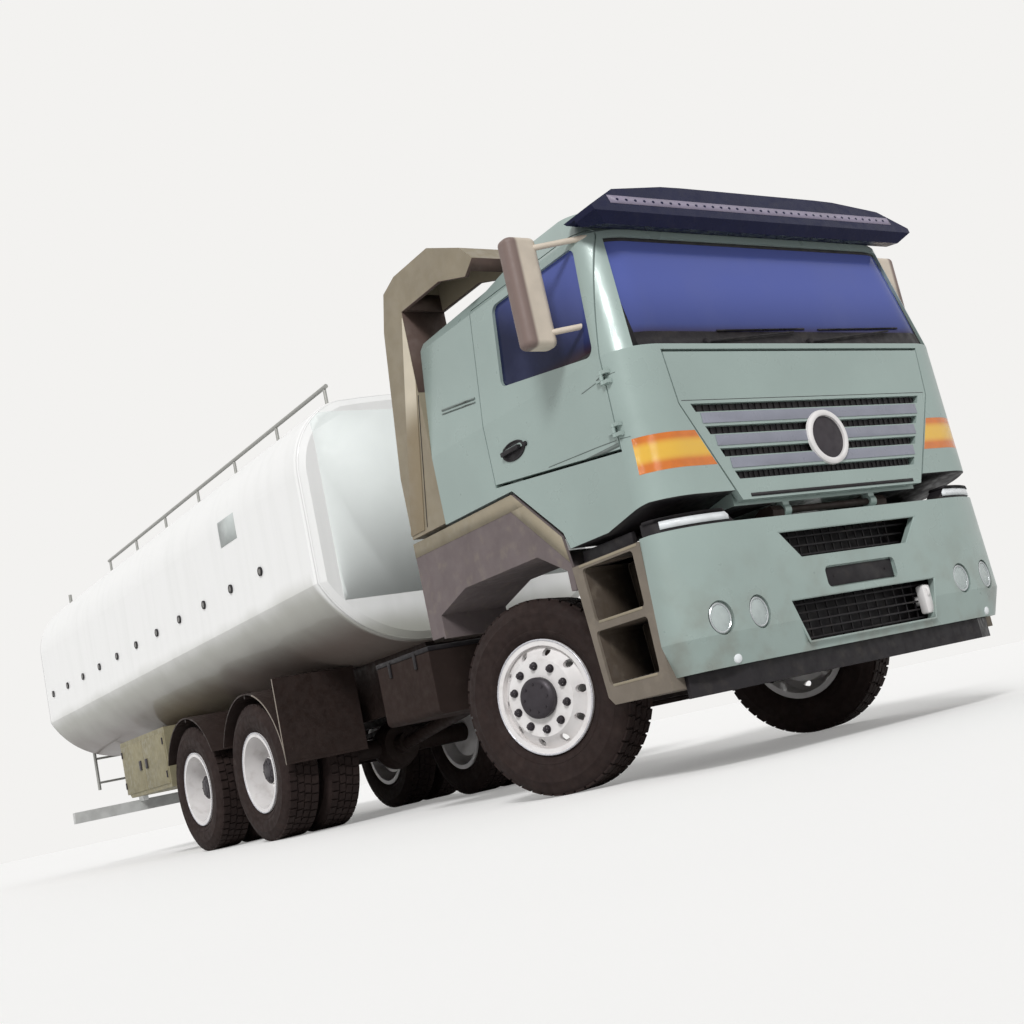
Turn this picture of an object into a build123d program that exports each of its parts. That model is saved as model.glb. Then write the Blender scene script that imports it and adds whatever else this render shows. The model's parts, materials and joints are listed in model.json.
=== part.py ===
from build123d import *
import math
import os

# A three-axle rigid tanker truck with a tilting day cab, twin rear axles and a one-piece tank.
# Millimetres. +X points forward, +Y to the truck's left and +Z up.
# The origin is on the ground below the middle of the truck.

# Axles and overall length
FRONT_OVERHANG = 1420
WHEELBASE = 3700
BOGIE_SPACING = 1350
REAR_OVERHANG = 4300
LENGTH = FRONT_OVERHANG + WHEELBASE + BOGIE_SPACING + REAR_OVERHANG
X_FRONT = LENGTH / 2
X_STEER = X_FRONT - FRONT_OVERHANG
X_DRIVE_1 = X_STEER - WHEELBASE
X_DRIVE_2 = X_DRIVE_1 - BOGIE_SPACING
X_REAR = -LENGTH / 2
SEAT_GAP = 0.3
MOVING_GAP = 8

# Wheels and tyres
TYRE_RADIUS = 520
TYRE_WIDTH = 296
RIM_SEAT_RADIUS = 286
RIM_WIDTH = 256
FLANGE_HEIGHT = 20
BARREL_WALL = 14
DISC_OFFSET = 160
DISC_THICKNESS = 14
HUB_RADIUS = 102
HUB_LENGTH = 210
DRUM_RADIUS = 205
STUD_CIRCLE = 335
STUD_COUNT = 10
NUT_RADIUS = 15
NUT_LENGTH = 24
HAND_HOLE_CIRCLE = 478
HAND_HOLE_RADIUS = 22
FRONT_TRACK = 2040
REAR_TRACK_OUTER = 2130
DUAL_SPACING = 340
SPINDLE_RADIUS = 45
DRIVE_SPINDLE_RADIUS = 62
RUNNING_CLEARANCE = 0.05
# The front wheels stand turned to the left by this many degrees.
STEER_REST = 20

# Steering
KINGPIN_Y = 860
KINGPIN_RADIUS = 22
EYE_RADIUS = 55
EYE_HEIGHT = 150
LUG_THICKNESS = 38
LUG_GAP = 6
KNUCKLE_PLATE = 30
STEER_ARM_LENGTH = 190
TIE_PIN_RADIUS = 14
TIE_ROD_RADIUS = 17
TIE_EYE_RADIUS = 30
TIE_EYE_HALF = 21

# Frame
RAIL_OUTER_Y = 425
RAIL_HEIGHT = 270
RAIL_FLANGE = 80
RAIL_WALL = 10
FRAME_TOP = 1000
RAIL_BOTTOM = FRAME_TOP - RAIL_HEIGHT
FRAME_FRONT = X_FRONT - 300
FRAME_REAR = X_REAR + 420
CROSSMEMBER_RADIUS = 45
CASE_HALF = 120
NOSE_LENGTH = 230
SPRING_WIDTH = 80
SPRING_THICKNESS = 48
SPRING_Y = RAIL_OUTER_Y - RAIL_FLANGE / 2

# Cab
CAB_FRONT = X_FRONT - 20
CAB_REAR = X_STEER - 400
CAB_HALF_WIDTH = 1195
CAB_WALL = 60
CAB_BOTTOM = 1190
WAIST_RISE = 810
HEADER_RISE = 650
ROOF_RISE = 180
CAB_WAIST = CAB_BOTTOM + WAIST_RISE
CAB_HEADER = CAB_WAIST + HEADER_RISE
CAB_ROOF = CAB_HEADER + ROOF_RISE
ROOF_FALL = 140
CORNER_DEPTH = 180
CORNER_SPREAD = 250
WAIST_SETBACK = 12
HEADER_SETBACK = 130
ROOF_SETBACK = 270
HEADER_TUCK = 72
ROOF_TUCK = 170
ARCH_TOP = CAB_BOTTOM + 410
ARCH_FRONT = X_STEER + 700
CHIN_RISE = 65
CHIN_REAR = X_STEER + 1000
CHIN_FRONT = X_STEER + 1300
FIREWALL_DEPTH = 170
GLASS_INSET = 18
GLASS_THICKNESS = 8
TILT_X = CAB_FRONT - 85
TILT_Z = CAB_BOTTOM - 40
TILT_TUBE_RADIUS = 18
TILT_EYE_RADIUS = 32
TILT_EYE_Y = 320

# Doors
DOOR_FRONT = X_STEER + 1225
DOOR_REAR = X_STEER + 170
DOOR_TOP = CAB_HEADER + 18
DOOR_INNER = CAB_HALF_WIDTH - 155
DOOR_BOTTOM_REAR = ARCH_TOP + 70
DOOR_BOTTOM_FRONT = ARCH_TOP - 60
DOOR_GAP = 7
DOOR_SILL_GAP = 16
WINDOW_MARGIN_FRONT = 38
WINDOW_MARGIN_REAR = 215
WINDOW_SLANT = 52
WINDOW_TOP = CAB_HEADER - 45
SILL_REAR = CAB_WAIST + 148
SILL_FRONT = CAB_WAIST + 16
HINGE_X = DOOR_FRONT + DOOR_GAP / 2
HINGE_Y = CAB_HALF_WIDTH + 17
HINGE_LEVELS = (CAB_WAIST - 370, CAB_WAIST - 110)
HINGE_RADIUS = 10
HINGE_PIN_RADIUS = 5
HINGE_EYE_HALF = 14
HINGE_LUG = 18

# Front flap with the grille
FLAP_TOP = CAB_WAIST - 38
FLAP_TOP_HALF = 940
FLAP_KNEE = CAB_BOTTOM + 510
FLAP_KNEE_HALF = 915
FLAP_BOTTOM = CAB_BOTTOM + 15
FLAP_BOTTOM_HALF = 665
FLAP_THICKNESS = 42
FLAP_TAPER = (FLAP_KNEE_HALF - FLAP_BOTTOM_HALF) / (FLAP_KNEE - FLAP_BOTTOM)
GRILLE_TOP = CAB_BOTTOM + 506
GRILLE_MARGIN = 66
GRILLE_SLOTS = 4
GRILLE_SLOT_HEIGHT = 42
GRILLE_PITCH = 115
INDICATOR_LOW = CAB_BOTTOM + 200
INDICATOR_HEIGHT = 175
INDICATOR_GAP = 14

# Bumper and lights
BUMPER_TOP = 1105
BUMPER_BOTTOM = 445
BUMPER_HALF_WIDTH = 1210
BUMPER_DEPTH = 215
BUMPER_CORNER_DEPTH = 180
BUMPER_CORNER_SPREAD = 390
BUMPER_WALL = 45
LAMP_HEIGHT = 62
LAMP_INNER = 760
VALANCE_HEIGHT = 105
FOG_RECESS = 20

# Tank
TANK_FRONT = X_STEER - 2050
TANK_REAR = X_REAR + 110
TANK_HALF_WIDTH = 1222
TANK_BOTTOM = 1150
TANK_TOP = 2985
BELLY_RISE = 490
SHOULDER_DROP = 525
CROWN_DROP = 50
TANK_SIDE_LOW = TANK_BOTTOM + BELLY_RISE
TANK_SHOULDER = TANK_TOP - CROWN_DROP
TANK_SIDE_HIGH = TANK_SHOULDER - SHOULDER_DROP
TANK_SHOULDER_HALF = 830
TANK_SEAT_HALF = 430
TANK_WALL = 14
RAIL_RISE = 375
WALKWAY_TOP = TANK_TOP + RAIL_RISE
WALKWAY_HALF = 400
MANHOLE_RADIUS = 260
MANHOLE_COUNT = 3

os.makedirs("parts", exist_ok=True)
SIDES = (("right", -1), ("left", 1))


def keep(builder, name, turned=0):
    """Name a finished piece and write it to its own file, a steered one turned about its kingpin."""
    piece = builder.part
    if turned:
        piece = piece.rotate(Axis((X_STEER, turned * KINGPIN_Y, 0), (0, 0, 1)), STEER_REST)
    piece.label = name
    export_step(piece, f"parts/{name}.step")


# Wheels: revolved about their axle. Positions across the wheel run outboard from its middle plane.


def wheel_plane(x, y, side):
    """A plane whose first axis runs outboard along the axle and whose second runs up."""
    return Plane(origin=(x, y, TYRE_RADIUS), x_dir=(0, side, 0), z_dir=(side, 0, 0))


def axle_line(x):
    return Axis((x, 0, TYRE_RADIUS), (0, 1, 0))


def tyre_outline():
    """Half of a tyre's section: bead, bulged sidewall, shoulder and tread, mirrored."""
    bead, shoulder, tread = RIM_WIDTH / 2 - 16, TYRE_WIDTH / 2 - 22, TYRE_WIDTH / 2 - 44
    with BuildLine() as outline:
        Line((-bead, RIM_SEAT_RADIUS), (bead, RIM_SEAT_RADIUS))
        for s in (-1, 1):
            Line((s * bead, RIM_SEAT_RADIUS), (s * bead, RIM_SEAT_RADIUS + FLANGE_HEIGHT + 4))
            ThreePointArc(
                (s * bead, RIM_SEAT_RADIUS + FLANGE_HEIGHT + 4),
                (s * TYRE_WIDTH / 2, RIM_SEAT_RADIUS + 112),
                (s * shoulder, TYRE_RADIUS - 22),
            )
            Line((s * shoulder, TYRE_RADIUS - 22), (s * tread, TYRE_RADIUS))
        Line((-tread, TYRE_RADIUS), (tread, TYRE_RADIUS))
    make_face(outline.edges())


def barrel_outline():
    """The rim's barrel with its two flanges."""
    seat = RIM_SEAT_RADIUS - SEAT_GAP
    half = RIM_WIDTH / 2
    inner = seat - BARREL_WALL
    with BuildLine() as outline:
        Polyline(
            (-half, inner),
            (-half, seat + FLANGE_HEIGHT),
            (-half + 12, seat + FLANGE_HEIGHT),
            (-half + 14, seat),
            (half - 14, seat),
            (half - 12, seat + FLANGE_HEIGHT),
            (half, seat + FLANGE_HEIGHT),
            (half, inner),
            close=True,
        )
    make_face(outline.edges())


def disc_outline(face):
    """The bell-shaped disc, from the barrel out to a flat mounting face at this offset."""
    seat = RIM_SEAT_RADIUS - SEAT_GAP - BARREL_WALL
    s = 1 if face > 0 else -1
    root = face - s * 95
    with BuildLine() as outline:
        Polyline(
            (root - s * 10, seat + 6),
            (root + s * 22, seat + 6),
            (face, 205),
            (face, HUB_RADIUS - 12),
            (face - s * DISC_THICKNESS, HUB_RADIUS - 12),
            (face - s * DISC_THICKNESS, 196),
            close=True,
        )
    make_face(outline.edges())


for side_name, s in SIDES:
    y_wheel = s * FRONT_TRACK / 2
    flat = wheel_plane(X_STEER, y_wheel, s)

    with BuildPart() as front_tyre:
        with BuildSketch(flat):
            tyre_outline()
        revolve(axis=axle_line(X_STEER))
    keep(front_tyre, f"front_tyre_{side_name}", turned=s)

    bore = SPINDLE_RADIUS + RUNNING_CLEARANCE
    with BuildPart() as front_rim:
        with BuildSketch(flat):
            barrel_outline()
            disc_outline(DISC_OFFSET)
            with BuildLine():
                Polyline(
                    (-40, bore),
                    (-40, DRUM_RADIUS),
                    (DISC_OFFSET - DISC_THICKNESS - 60, DRUM_RADIUS),
                    (DISC_OFFSET - DISC_THICKNESS - 20, HUB_RADIUS + 40),
                    (DISC_OFFSET - DISC_THICKNESS, HUB_RADIUS + 20),
                    (DISC_OFFSET - DISC_THICKNESS, HUB_RADIUS),
                    (DISC_OFFSET + 36, HUB_RADIUS),
                    (DISC_OFFSET + 48, HUB_RADIUS - 22),
                    (DISC_OFFSET + 48, 0),
                    (DISC_OFFSET - 10, 0),
                    (DISC_OFFSET - 10, bore),
                    close=True,
                )
            make_face()
        revolve(axis=axle_line(X_STEER))
        face_plane = Plane(origin=(X_STEER, y_wheel + s * DISC_OFFSET, TYRE_RADIUS), z_dir=(0, s, 0))
        with BuildSketch(face_plane):
            with PolarLocations(STUD_CIRCLE / 2, STUD_COUNT):
                RegularPolygon(NUT_RADIUS, 6)
        extrude(amount=NUT_LENGTH)
        with BuildSketch(face_plane.offset(5)):
            with PolarLocations(HAND_HOLE_CIRCLE / 2, STUD_COUNT, start_angle=18):
                Circle(HAND_HOLE_RADIUS)
        extrude(amount=-75, mode=Mode.SUBTRACT)
    keep(front_rim, f"front_rim_{side_name}", turned=s)

    for number, x_drive in ((1, X_DRIVE_1), (2, X_DRIVE_2)):
        y_outer = s * REAR_TRACK_OUTER / 2
        y_inner = y_outer - s * DUAL_SPACING
        with BuildPart() as rear_tyres:
            for y_twin in (y_outer, y_inner):
                with BuildSketch(wheel_plane(x_drive, y_twin, s)):
                    tyre_outline()
            revolve(axis=axle_line(x_drive))
        keep(rear_tyres, f"rear_tyres_{number}_{side_name}")

        bore = DRIVE_SPINDLE_RADIUS + RUNNING_CLEARANCE
        to_mount = DUAL_SPACING / 2
        with BuildPart() as rear_rims:
            with BuildSketch(wheel_plane(x_drive, y_outer, s)):
                barrel_outline()
                disc_outline(-to_mount)
            with BuildSketch(wheel_plane(x_drive, y_inner, s)):
                barrel_outline()
                disc_outline(to_mount)
                with BuildLine():
                    Polyline(
                        (-60, bore),
                        (-60, DRUM_RADIUS),
                        (to_mount - 60, DRUM_RADIUS),
                        (to_mount - 20, HUB_RADIUS + 40),
                        (to_mount, HUB_RADIUS + 30),
                        (to_mount + 14, HUB_RADIUS),
                        (to_mount + HUB_LENGTH, HUB_RADIUS),
                        (to_mount + HUB_LENGTH + 15, HUB_RADIUS - 20),
                        (to_mount + HUB_LENGTH + 15, 0),
                        (to_mount + HUB_LENGTH - 40, 0),
                        (to_mount + HUB_LENGTH - 40, bore),
                        close=True,
                    )
                make_face()
            revolve(axis=axle_line(x_drive))
            mount_plane = Plane(
                origin=(x_drive, y_outer - s * (to_mount - DISC_THICKNESS), TYRE_RADIUS), z_dir=(0, s, 0)
            )
            with BuildSketch(mount_plane):
                with PolarLocations(STUD_CIRCLE / 2, STUD_COUNT):
                    RegularPolygon(NUT_RADIUS, 6)
            extrude(amount=NUT_LENGTH)
            with BuildSketch(mount_plane.offset(80)):
                with PolarLocations(HAND_HOLE_CIRCLE / 2, STUD_COUNT, start_angle=18):
                    Circle(HAND_HOLE_RADIUS)
            extrude(amount=-190, mode=Mode.SUBTRACT)
        keep(rear_rims, f"rear_rims_{number}_{side_name}")


# Steering knuckles, tie rod and front axle


EYE_LOW = TYRE_RADIUS - EYE_HEIGHT / 2
EYE_HIGH = TYRE_RADIUS + EYE_HEIGHT / 2
TIE_PIN_TOP = EYE_LOW - LUG_GAP - LUG_THICKNESS
for side_name, s in SIDES:
    y_pin = s * KINGPIN_Y
    y_plate = s * (KINGPIN_Y + EYE_RADIUS + LUG_GAP)
    lug_low = EYE_LOW - LUG_GAP - LUG_THICKNESS
    lug_high = EYE_HIGH + LUG_GAP
    with BuildPart() as knuckle:
        for z_lug in (lug_low, lug_high):
            with BuildSketch(Plane.XY.offset(z_lug)):
                with Locations((X_STEER, y_pin)):
                    Circle(EYE_RADIUS)
                with Locations((X_STEER, (y_pin + y_plate) / 2)):
                    Rectangle(2 * EYE_RADIUS, abs(y_plate - y_pin))
            extrude(amount=LUG_THICKNESS)
        with BuildSketch(Plane.XY.offset(lug_low)):
            with Locations((X_STEER, y_pin)):
                Circle(KINGPIN_RADIUS)
        extrude(amount=lug_high + LUG_THICKNESS - lug_low)
        with BuildSketch(Plane.XY.offset(lug_low)):
            with Locations((X_STEER, y_plate + s * KNUCKLE_PLATE / 2)):
                Rectangle(2 * EYE_RADIUS, KNUCKLE_PLATE)
        extrude(amount=lug_high + LUG_THICKNESS - lug_low)
        with BuildSketch(Plane(origin=(X_STEER, y_plate, TYRE_RADIUS), z_dir=(0, s, 0))):
            Circle(SPINDLE_RADIUS)
        extrude(amount=FRONT_TRACK / 2 + DISC_OFFSET - 15 - abs(y_plate))
        with BuildSketch(Plane.XY.offset(lug_low)):
            with Locations((X_STEER - STEER_ARM_LENGTH / 2, y_pin)):
                Rectangle(STEER_ARM_LENGTH, 50)
            with Locations((X_STEER - STEER_ARM_LENGTH, y_pin)):
                Circle(TIE_EYE_RADIUS - 4)
        extrude(amount=LUG_THICKNESS - 10)
        with BuildSketch(Plane.XY.offset(TIE_PIN_TOP)):
            with Locations((X_STEER - STEER_ARM_LENGTH, y_pin)):
                Circle(TIE_PIN_RADIUS)
        extrude(amount=-(LUG_GAP + 2 * TIE_EYE_HALF + 5))
    keep(knuckle, f"knuckle_{side_name}", turned=s)

TIE_ROD_Z = TIE_PIN_TOP - LUG_GAP - TIE_EYE_HALF
# Both arms are parallel, so the rod follows their pins without turning.
TIE_ROD_X = X_STEER - STEER_ARM_LENGTH * math.cos(math.radians(STEER_REST))
TIE_ROD_SHIFT = -STEER_ARM_LENGTH * math.sin(math.radians(STEER_REST))
with BuildPart() as tie_rod:
    with BuildSketch(Plane(origin=(TIE_ROD_X, TIE_ROD_SHIFT, TIE_ROD_Z), z_dir=(0, 1, 0))):
        Circle(TIE_ROD_RADIUS)
    extrude(amount=KINGPIN_Y - TIE_PIN_RADIUS - 6, both=True)
    with BuildSketch(Plane.XY.offset(TIE_ROD_Z - TIE_EYE_HALF)):
        with Locations(*[(TIE_ROD_X, s * KINGPIN_Y + TIE_ROD_SHIFT) for _, s in SIDES]):
            Circle(TIE_EYE_RADIUS)
    extrude(amount=2 * TIE_EYE_HALF)
    with BuildSketch(Plane.XY.offset(TIE_ROD_Z - TIE_EYE_HALF)):
        with Locations((TIE_ROD_X, -KINGPIN_Y + TIE_ROD_SHIFT)):
            Circle(TIE_PIN_RADIUS + RUNNING_CLEARANCE)
        with Locations((TIE_ROD_X, KINGPIN_Y + TIE_ROD_SHIFT)):
            Circle(TIE_PIN_RADIUS + 2)
    extrude(amount=2 * TIE_EYE_HALF, mode=Mode.SUBTRACT)
keep(tie_rod, "tie_rod")

AXLE_TOP = 500
AXLE_HEIGHT = 115
AXLE_HALF_DEPTH = 46
with BuildPart() as front_axle:
    with BuildSketch(Plane.YZ.offset(X_STEER - AXLE_HALF_DEPTH)):
        with BuildLine():
            Polyline(
                (-KINGPIN_Y, EYE_LOW + 15),
                (-600, AXLE_TOP - AXLE_HEIGHT),
                (600, AXLE_TOP - AXLE_HEIGHT),
                (KINGPIN_Y, EYE_LOW + 15),
                (KINGPIN_Y, EYE_HIGH - 20),
                (540, AXLE_TOP),
                (-540, AXLE_TOP),
                (-KINGPIN_Y, EYE_HIGH - 20),
                close=True,
            )
        make_face()
    extrude(amount=2 * AXLE_HALF_DEPTH)
    for x_face, depth in ((X_STEER - AXLE_HALF_DEPTH, 32), (X_STEER + AXLE_HALF_DEPTH, -32)):
        with BuildSketch(Plane.YZ.offset(x_face)):
            with Locations((0, AXLE_TOP - AXLE_HEIGHT / 2)):
                Rectangle(1040, AXLE_HEIGHT - 44)
        extrude(amount=depth, mode=Mode.SUBTRACT)
    with BuildSketch(Plane.XY.offset(EYE_LOW)):
        with Locations(*[(X_STEER, s * KINGPIN_Y) for _, s in SIDES]):
            Circle(EYE_RADIUS)
    extrude(amount=EYE_HEIGHT)
    with BuildSketch(Plane.XY.offset(EYE_LOW)):
        with Locations(*[(X_STEER, s * KINGPIN_Y) for _, s in SIDES]):
            Circle(KINGPIN_RADIUS + RUNNING_CLEARANCE)
    extrude(amount=EYE_HEIGHT, mode=Mode.SUBTRACT)
keep(front_axle, "front_axle")


# Frame: two channel rails facing inward, joined by tubes


with BuildPart() as frame:
    for _, s in SIDES:
        with BuildSketch(Plane.YZ.offset(FRAME_REAR)):
            with Locations((s * (RAIL_OUTER_Y - RAIL_FLANGE / 2), FRAME_TOP - RAIL_HEIGHT / 2)):
                Rectangle(RAIL_FLANGE, RAIL_HEIGHT)
            with Locations((s * (RAIL_OUTER_Y - RAIL_WALL - RAIL_FLANGE / 2), FRAME_TOP - RAIL_HEIGHT / 2)):
                Rectangle(RAIL_FLANGE, RAIL_HEIGHT - 2 * RAIL_WALL, mode=Mode.SUBTRACT)
        extrude(amount=FRAME_FRONT - FRAME_REAR)
    crossmembers = [
        FRAME_REAR + 70,
        X_DRIVE_2 - 900,
        X_DRIVE_1 - BOGIE_SPACING / 2,
        X_DRIVE_1 + 950,
        X_STEER - 1500,
    ]
    for x_cross in crossmembers:
        with BuildSketch(Plane(origin=(x_cross, 0, FRAME_TOP - 65), z_dir=(0, 1, 0))):
            Circle(CROSSMEMBER_RADIUS)
        extrude(amount=RAIL_OUTER_Y - RAIL_WALL / 2, both=True)
    with BuildSketch(Plane.YZ.offset(FRAME_FRONT - 110)):
        with Locations((0, FRAME_TOP - RAIL_HEIGHT / 2)):
            Rectangle(2 * RAIL_OUTER_Y - RAIL_WALL, RAIL_HEIGHT - 40)
    extrude(amount=100)
keep(frame, "frame")


# Springs: a bowed pack on the front axle and an inverted pack over each side of the bogie


def bowed_pack(x_middle, z_middle, z_end, half_length, low_side):
    """A leaf pack's side outline between two arcs."""
    t = SPRING_THICKNESS * low_side
    with BuildLine() as outline:
        ThreePointArc(
            (x_middle - half_length, z_end),
            (x_middle, z_middle),
            (x_middle + half_length, z_end),
        )
        Line((x_middle + half_length, z_end), (x_middle + half_length, z_end + t / 2))
        ThreePointArc(
            (x_middle + half_length, z_end + t / 2),
            (x_middle, z_middle + t),
            (x_middle - half_length, z_end + t / 2),
        )
        Line((x_middle - half_length, z_end + t / 2), (x_middle - half_length, z_end))
    make_face(outline.edges())


DRIVE_PAD_TOP = TYRE_RADIUS + 110
with BuildPart() as springs:
    for _, s in SIDES:
        y_low = s * SPRING_Y - SPRING_WIDTH / 2
        front_z = AXLE_TOP + SEAT_GAP
        with BuildSketch(Plane(origin=(0, y_low, 0), x_dir=(1, 0, 0), z_dir=(0, -1, 0))):
            bowed_pack(X_STEER, front_z, front_z + 110, 760, 1)
            for end in (-1, 1):
                with BuildLine():
                    x_eye = X_STEER + end * 730
                    Polyline(
                        (x_eye - 34, front_z + 104),
                        (x_eye + 28, front_z + 104),
                        (x_eye + 60, RAIL_BOTTOM - SEAT_GAP),
                        (x_eye - 60, RAIL_BOTTOM - SEAT_GAP),
                        close=True,
                    )
                make_face()
        extrude(amount=-SPRING_WIDTH)
        with BuildSketch(Plane(origin=(0, y_low, 0), x_dir=(1, 0, 0), z_dir=(0, -1, 0))):
            x_bogie = (X_DRIVE_1 + X_DRIVE_2) / 2
            spring_end = DRIVE_PAD_TOP + SPRING_THICKNESS / 2 + SEAT_GAP
            bowed_pack(x_bogie, RAIL_BOTTOM - 20, spring_end, BOGIE_SPACING / 2 + 60, -1)
            with BuildLine():
                Polyline(
                    (x_bogie - 90, RAIL_BOTTOM - 40),
                    (x_bogie + 90, RAIL_BOTTOM - 40),
                    (x_bogie + 130, RAIL_BOTTOM - SEAT_GAP),
                    (x_bogie - 130, RAIL_BOTTOM - SEAT_GAP),
                    close=True,
                )
            make_face()
        extrude(amount=-SPRING_WIDTH)
keep(springs, "leaf_springs")


# Driven axles: tubes with a round differential case and spindles that run in the hubs


y_hub_inner = REAR_TRACK_OUTER / 2 - DUAL_SPACING - 60
with BuildPart() as drive_axles:
    for x_drive in (X_DRIVE_1, X_DRIVE_2):
        with BuildSketch(Plane(origin=(x_drive, 0, TYRE_RADIUS), z_dir=(0, 1, 0))):
            Circle(76)
        extrude(amount=y_hub_inner - 12, both=True)
        with BuildSketch(Plane(origin=(x_drive, 0, TYRE_RADIUS), z_dir=(0, 1, 0))):
            Circle(DRIVE_SPINDLE_RADIUS)
        extrude(amount=REAR_TRACK_OUTER / 2 - DUAL_SPACING / 2 + HUB_LENGTH - 60, both=True)
        with BuildSketch(Plane(origin=(x_drive, 0, TYRE_RADIUS), z_dir=(1, 0, 0))):
            Circle(195)
        extrude(amount=CASE_HALF, both=True, taper=18)
        with BuildSketch(Plane(origin=(x_drive, 0, TYRE_RADIUS), z_dir=(1, 0, 0))):
            Circle(80)
        extrude(amount=NOSE_LENGTH)
        for _, s in SIDES:
            with BuildSketch(Plane.XY.offset(TYRE_RADIUS + 60)):
                with Locations((x_drive, s * SPRING_Y)):
                    Rectangle(150, SPRING_WIDTH + 20)
            extrude(amount=DRIVE_PAD_TOP - TYRE_RADIUS - 60)
keep(drive_axles, "drive_axles")


# Engine and gearbox as one plain block, and the shafts to the driven axles


ENGINE_FRONT = X_STEER + 900
ENGINE_REAR = X_STEER - 250
ENGINE_TOP = 1150
ENGINE_BOTTOM = 640
GEARBOX_REAR = ENGINE_REAR - 850
with BuildPart() as engine:
    with BuildSketch(Plane.XY.offset(ENGINE_BOTTOM)):
        with Locations(((ENGINE_FRONT + ENGINE_REAR) / 2, 0)):
            Rectangle(ENGINE_FRONT - ENGINE_REAR, 600)
    extrude(amount=ENGINE_TOP - ENGINE_BOTTOM)
    with BuildSketch(Plane(origin=(ENGINE_REAR, 0, 840), z_dir=(-1, 0, 0))):
        Circle(200)
    extrude(amount=ENGINE_REAR - GEARBOX_REAR, taper=4)
    with BuildSketch(Plane.XY.offset(RAIL_BOTTOM + 60)):
        with Locations((ENGINE_FRONT - 350, 0), (ENGINE_REAR + 150, 0)):
            Rectangle(110, 2 * (RAIL_OUTER_Y - RAIL_WALL - SEAT_GAP))
    extrude(amount=90)
keep(engine, "engine_block")

SHAFT_RADIUS = 50
with BuildPart() as shafts:
    with BuildLine() as front_run:
        Line((GEARBOX_REAR + 80, 0, 850), (X_DRIVE_1 + 150, 0, TYRE_RADIUS - 10))
    with BuildSketch(Plane(origin=front_run.line @ 0, z_dir=front_run.line % 0)):
        Circle(SHAFT_RADIUS)
    sweep(path=front_run.line)
    split(bisect_by=Plane.YZ.offset(X_DRIVE_1 + NOSE_LENGTH + SEAT_GAP), keep=Keep.TOP)
    split(bisect_by=Plane.YZ.offset(GEARBOX_REAR - SEAT_GAP), keep=Keep.BOTTOM)
    with BuildSketch(Plane.YZ.offset(X_DRIVE_2 + NOSE_LENGTH + SEAT_GAP)):
        with Locations((0, TYRE_RADIUS)):
            Circle(SHAFT_RADIUS)
    extrude(amount=X_DRIVE_1 - CASE_HALF - X_DRIVE_2 - NOSE_LENGTH - 2 * SEAT_GAP)
keep(shafts, "drive_shafts")


# Cab: a lofted form with a hollow inside, split into shell, doors, flap and glass


def rounded_front(rear, front, half, depth, spread):
    """Draw a plan outline whose two front corners are quarter ellipses."""
    with BuildLine() as outline:
        Line((rear, -half), (front - depth, -half))
        EllipticalCenterArc((front - depth, -half + spread), depth, spread, start_angle=270, arc_size=90)
        Line((front, -half + spread), (front, half - spread))
        EllipticalCenterArc((front - depth, half - spread), depth, spread, start_angle=0, arc_size=90)
        Line((front - depth, half), (rear, half))
        Line((rear, half), (rear, -half))
    make_face(outline.edges())


def cab_outline(z, front, half, rear, inset):
    """The cab's plan outline at this height."""
    with BuildSketch(Plane.XY.offset(z)) as plan:
        rounded_front(rear, front, half, CORNER_DEPTH - inset, CORNER_SPREAD - inset)
    return plan.sketch


CAB_STATIONS = (
    # height, setback of the front, tuck of each side, drawn in at the rear
    (CAB_BOTTOM, 0, 0, 0),
    (CAB_WAIST, WAIST_SETBACK, 0, 0),
    (CAB_HEADER, HEADER_SETBACK, HEADER_TUCK, 0),
    (CAB_ROOF, ROOF_SETBACK, ROOF_TUCK, 40),
)


def cab_form(inset):
    """The cab's outer form, drawn in on every side by the inset."""
    form = None
    for low, high in zip(CAB_STATIONS, CAB_STATIONS[1:]):
        plans = []
        for z, setback, tuck, rear in (low, high):
            if z == CAB_BOTTOM:
                z = z + inset
            if z == CAB_ROOF:
                z = z - inset
            plan = cab_outline(
                z,
                CAB_FRONT - setback - inset,
                CAB_HALF_WIDTH - tuck - inset,
                CAB_REAR + rear + inset,
                inset,
            )
            plans.append(plan)
        with BuildPart() as stage:
            loft(plans, ruled=True)
        form = stage.part if form is None else form + stage.part
    # The roof falls away towards the rear.
    return form - side_prism(
        (
            (CAB_REAR - 80, CAB_ROOF - ROOF_FALL - inset),
            (X_STEER + 300, CAB_ROOF - 0.7 * ROOF_FALL - inset),
            (X_STEER + 650, CAB_ROOF + 1 - inset),
            (X_STEER + 650, CAB_ROOF + 200),
            (CAB_REAR - 80, CAB_ROOF + 200),
        ),
        -CAB_HALF_WIDTH,
        CAB_HALF_WIDTH,
    )


def side_prism(points, y_near, y_far):
    """A prism across the truck from a side outline of (x, z) points."""
    low, high = sorted((y_near, y_far))
    with BuildPart() as prism:
        with BuildSketch(Plane(origin=(0, low, 0), x_dir=(1, 0, 0), z_dir=(0, -1, 0))):
            with BuildLine():
                Polyline(*points, close=True)
            make_face()
        extrude(amount=-(high - low))
    return prism.part


def front_prism(points, x_near, x_far):
    """A prism along the truck from a front outline of (y, z) points."""
    with BuildPart() as prism:
        with BuildSketch(Plane.YZ.offset(x_near)):
            with BuildLine():
                Polyline(*points, close=True)
            make_face()
        extrude(amount=x_far - x_near)
    return prism.part


def arch_points(grow):
    """The cut over the front wheel, grown into the cab by this much."""
    return (
        (CAB_REAR - 500, CAB_BOTTOM - 200),
        (CAB_REAR - 500, ARCH_TOP + grow),
        (X_STEER + 300 + 0.4 * grow, ARCH_TOP + grow),
        (X_STEER + 655 + 0.8 * grow, CAB_BOTTOM + 90 + 0.4 * grow),
        (ARCH_FRONT + grow, CAB_BOTTOM - 30),
        (ARCH_FRONT + grow, CAB_BOTTOM - 200),
    )


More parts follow.
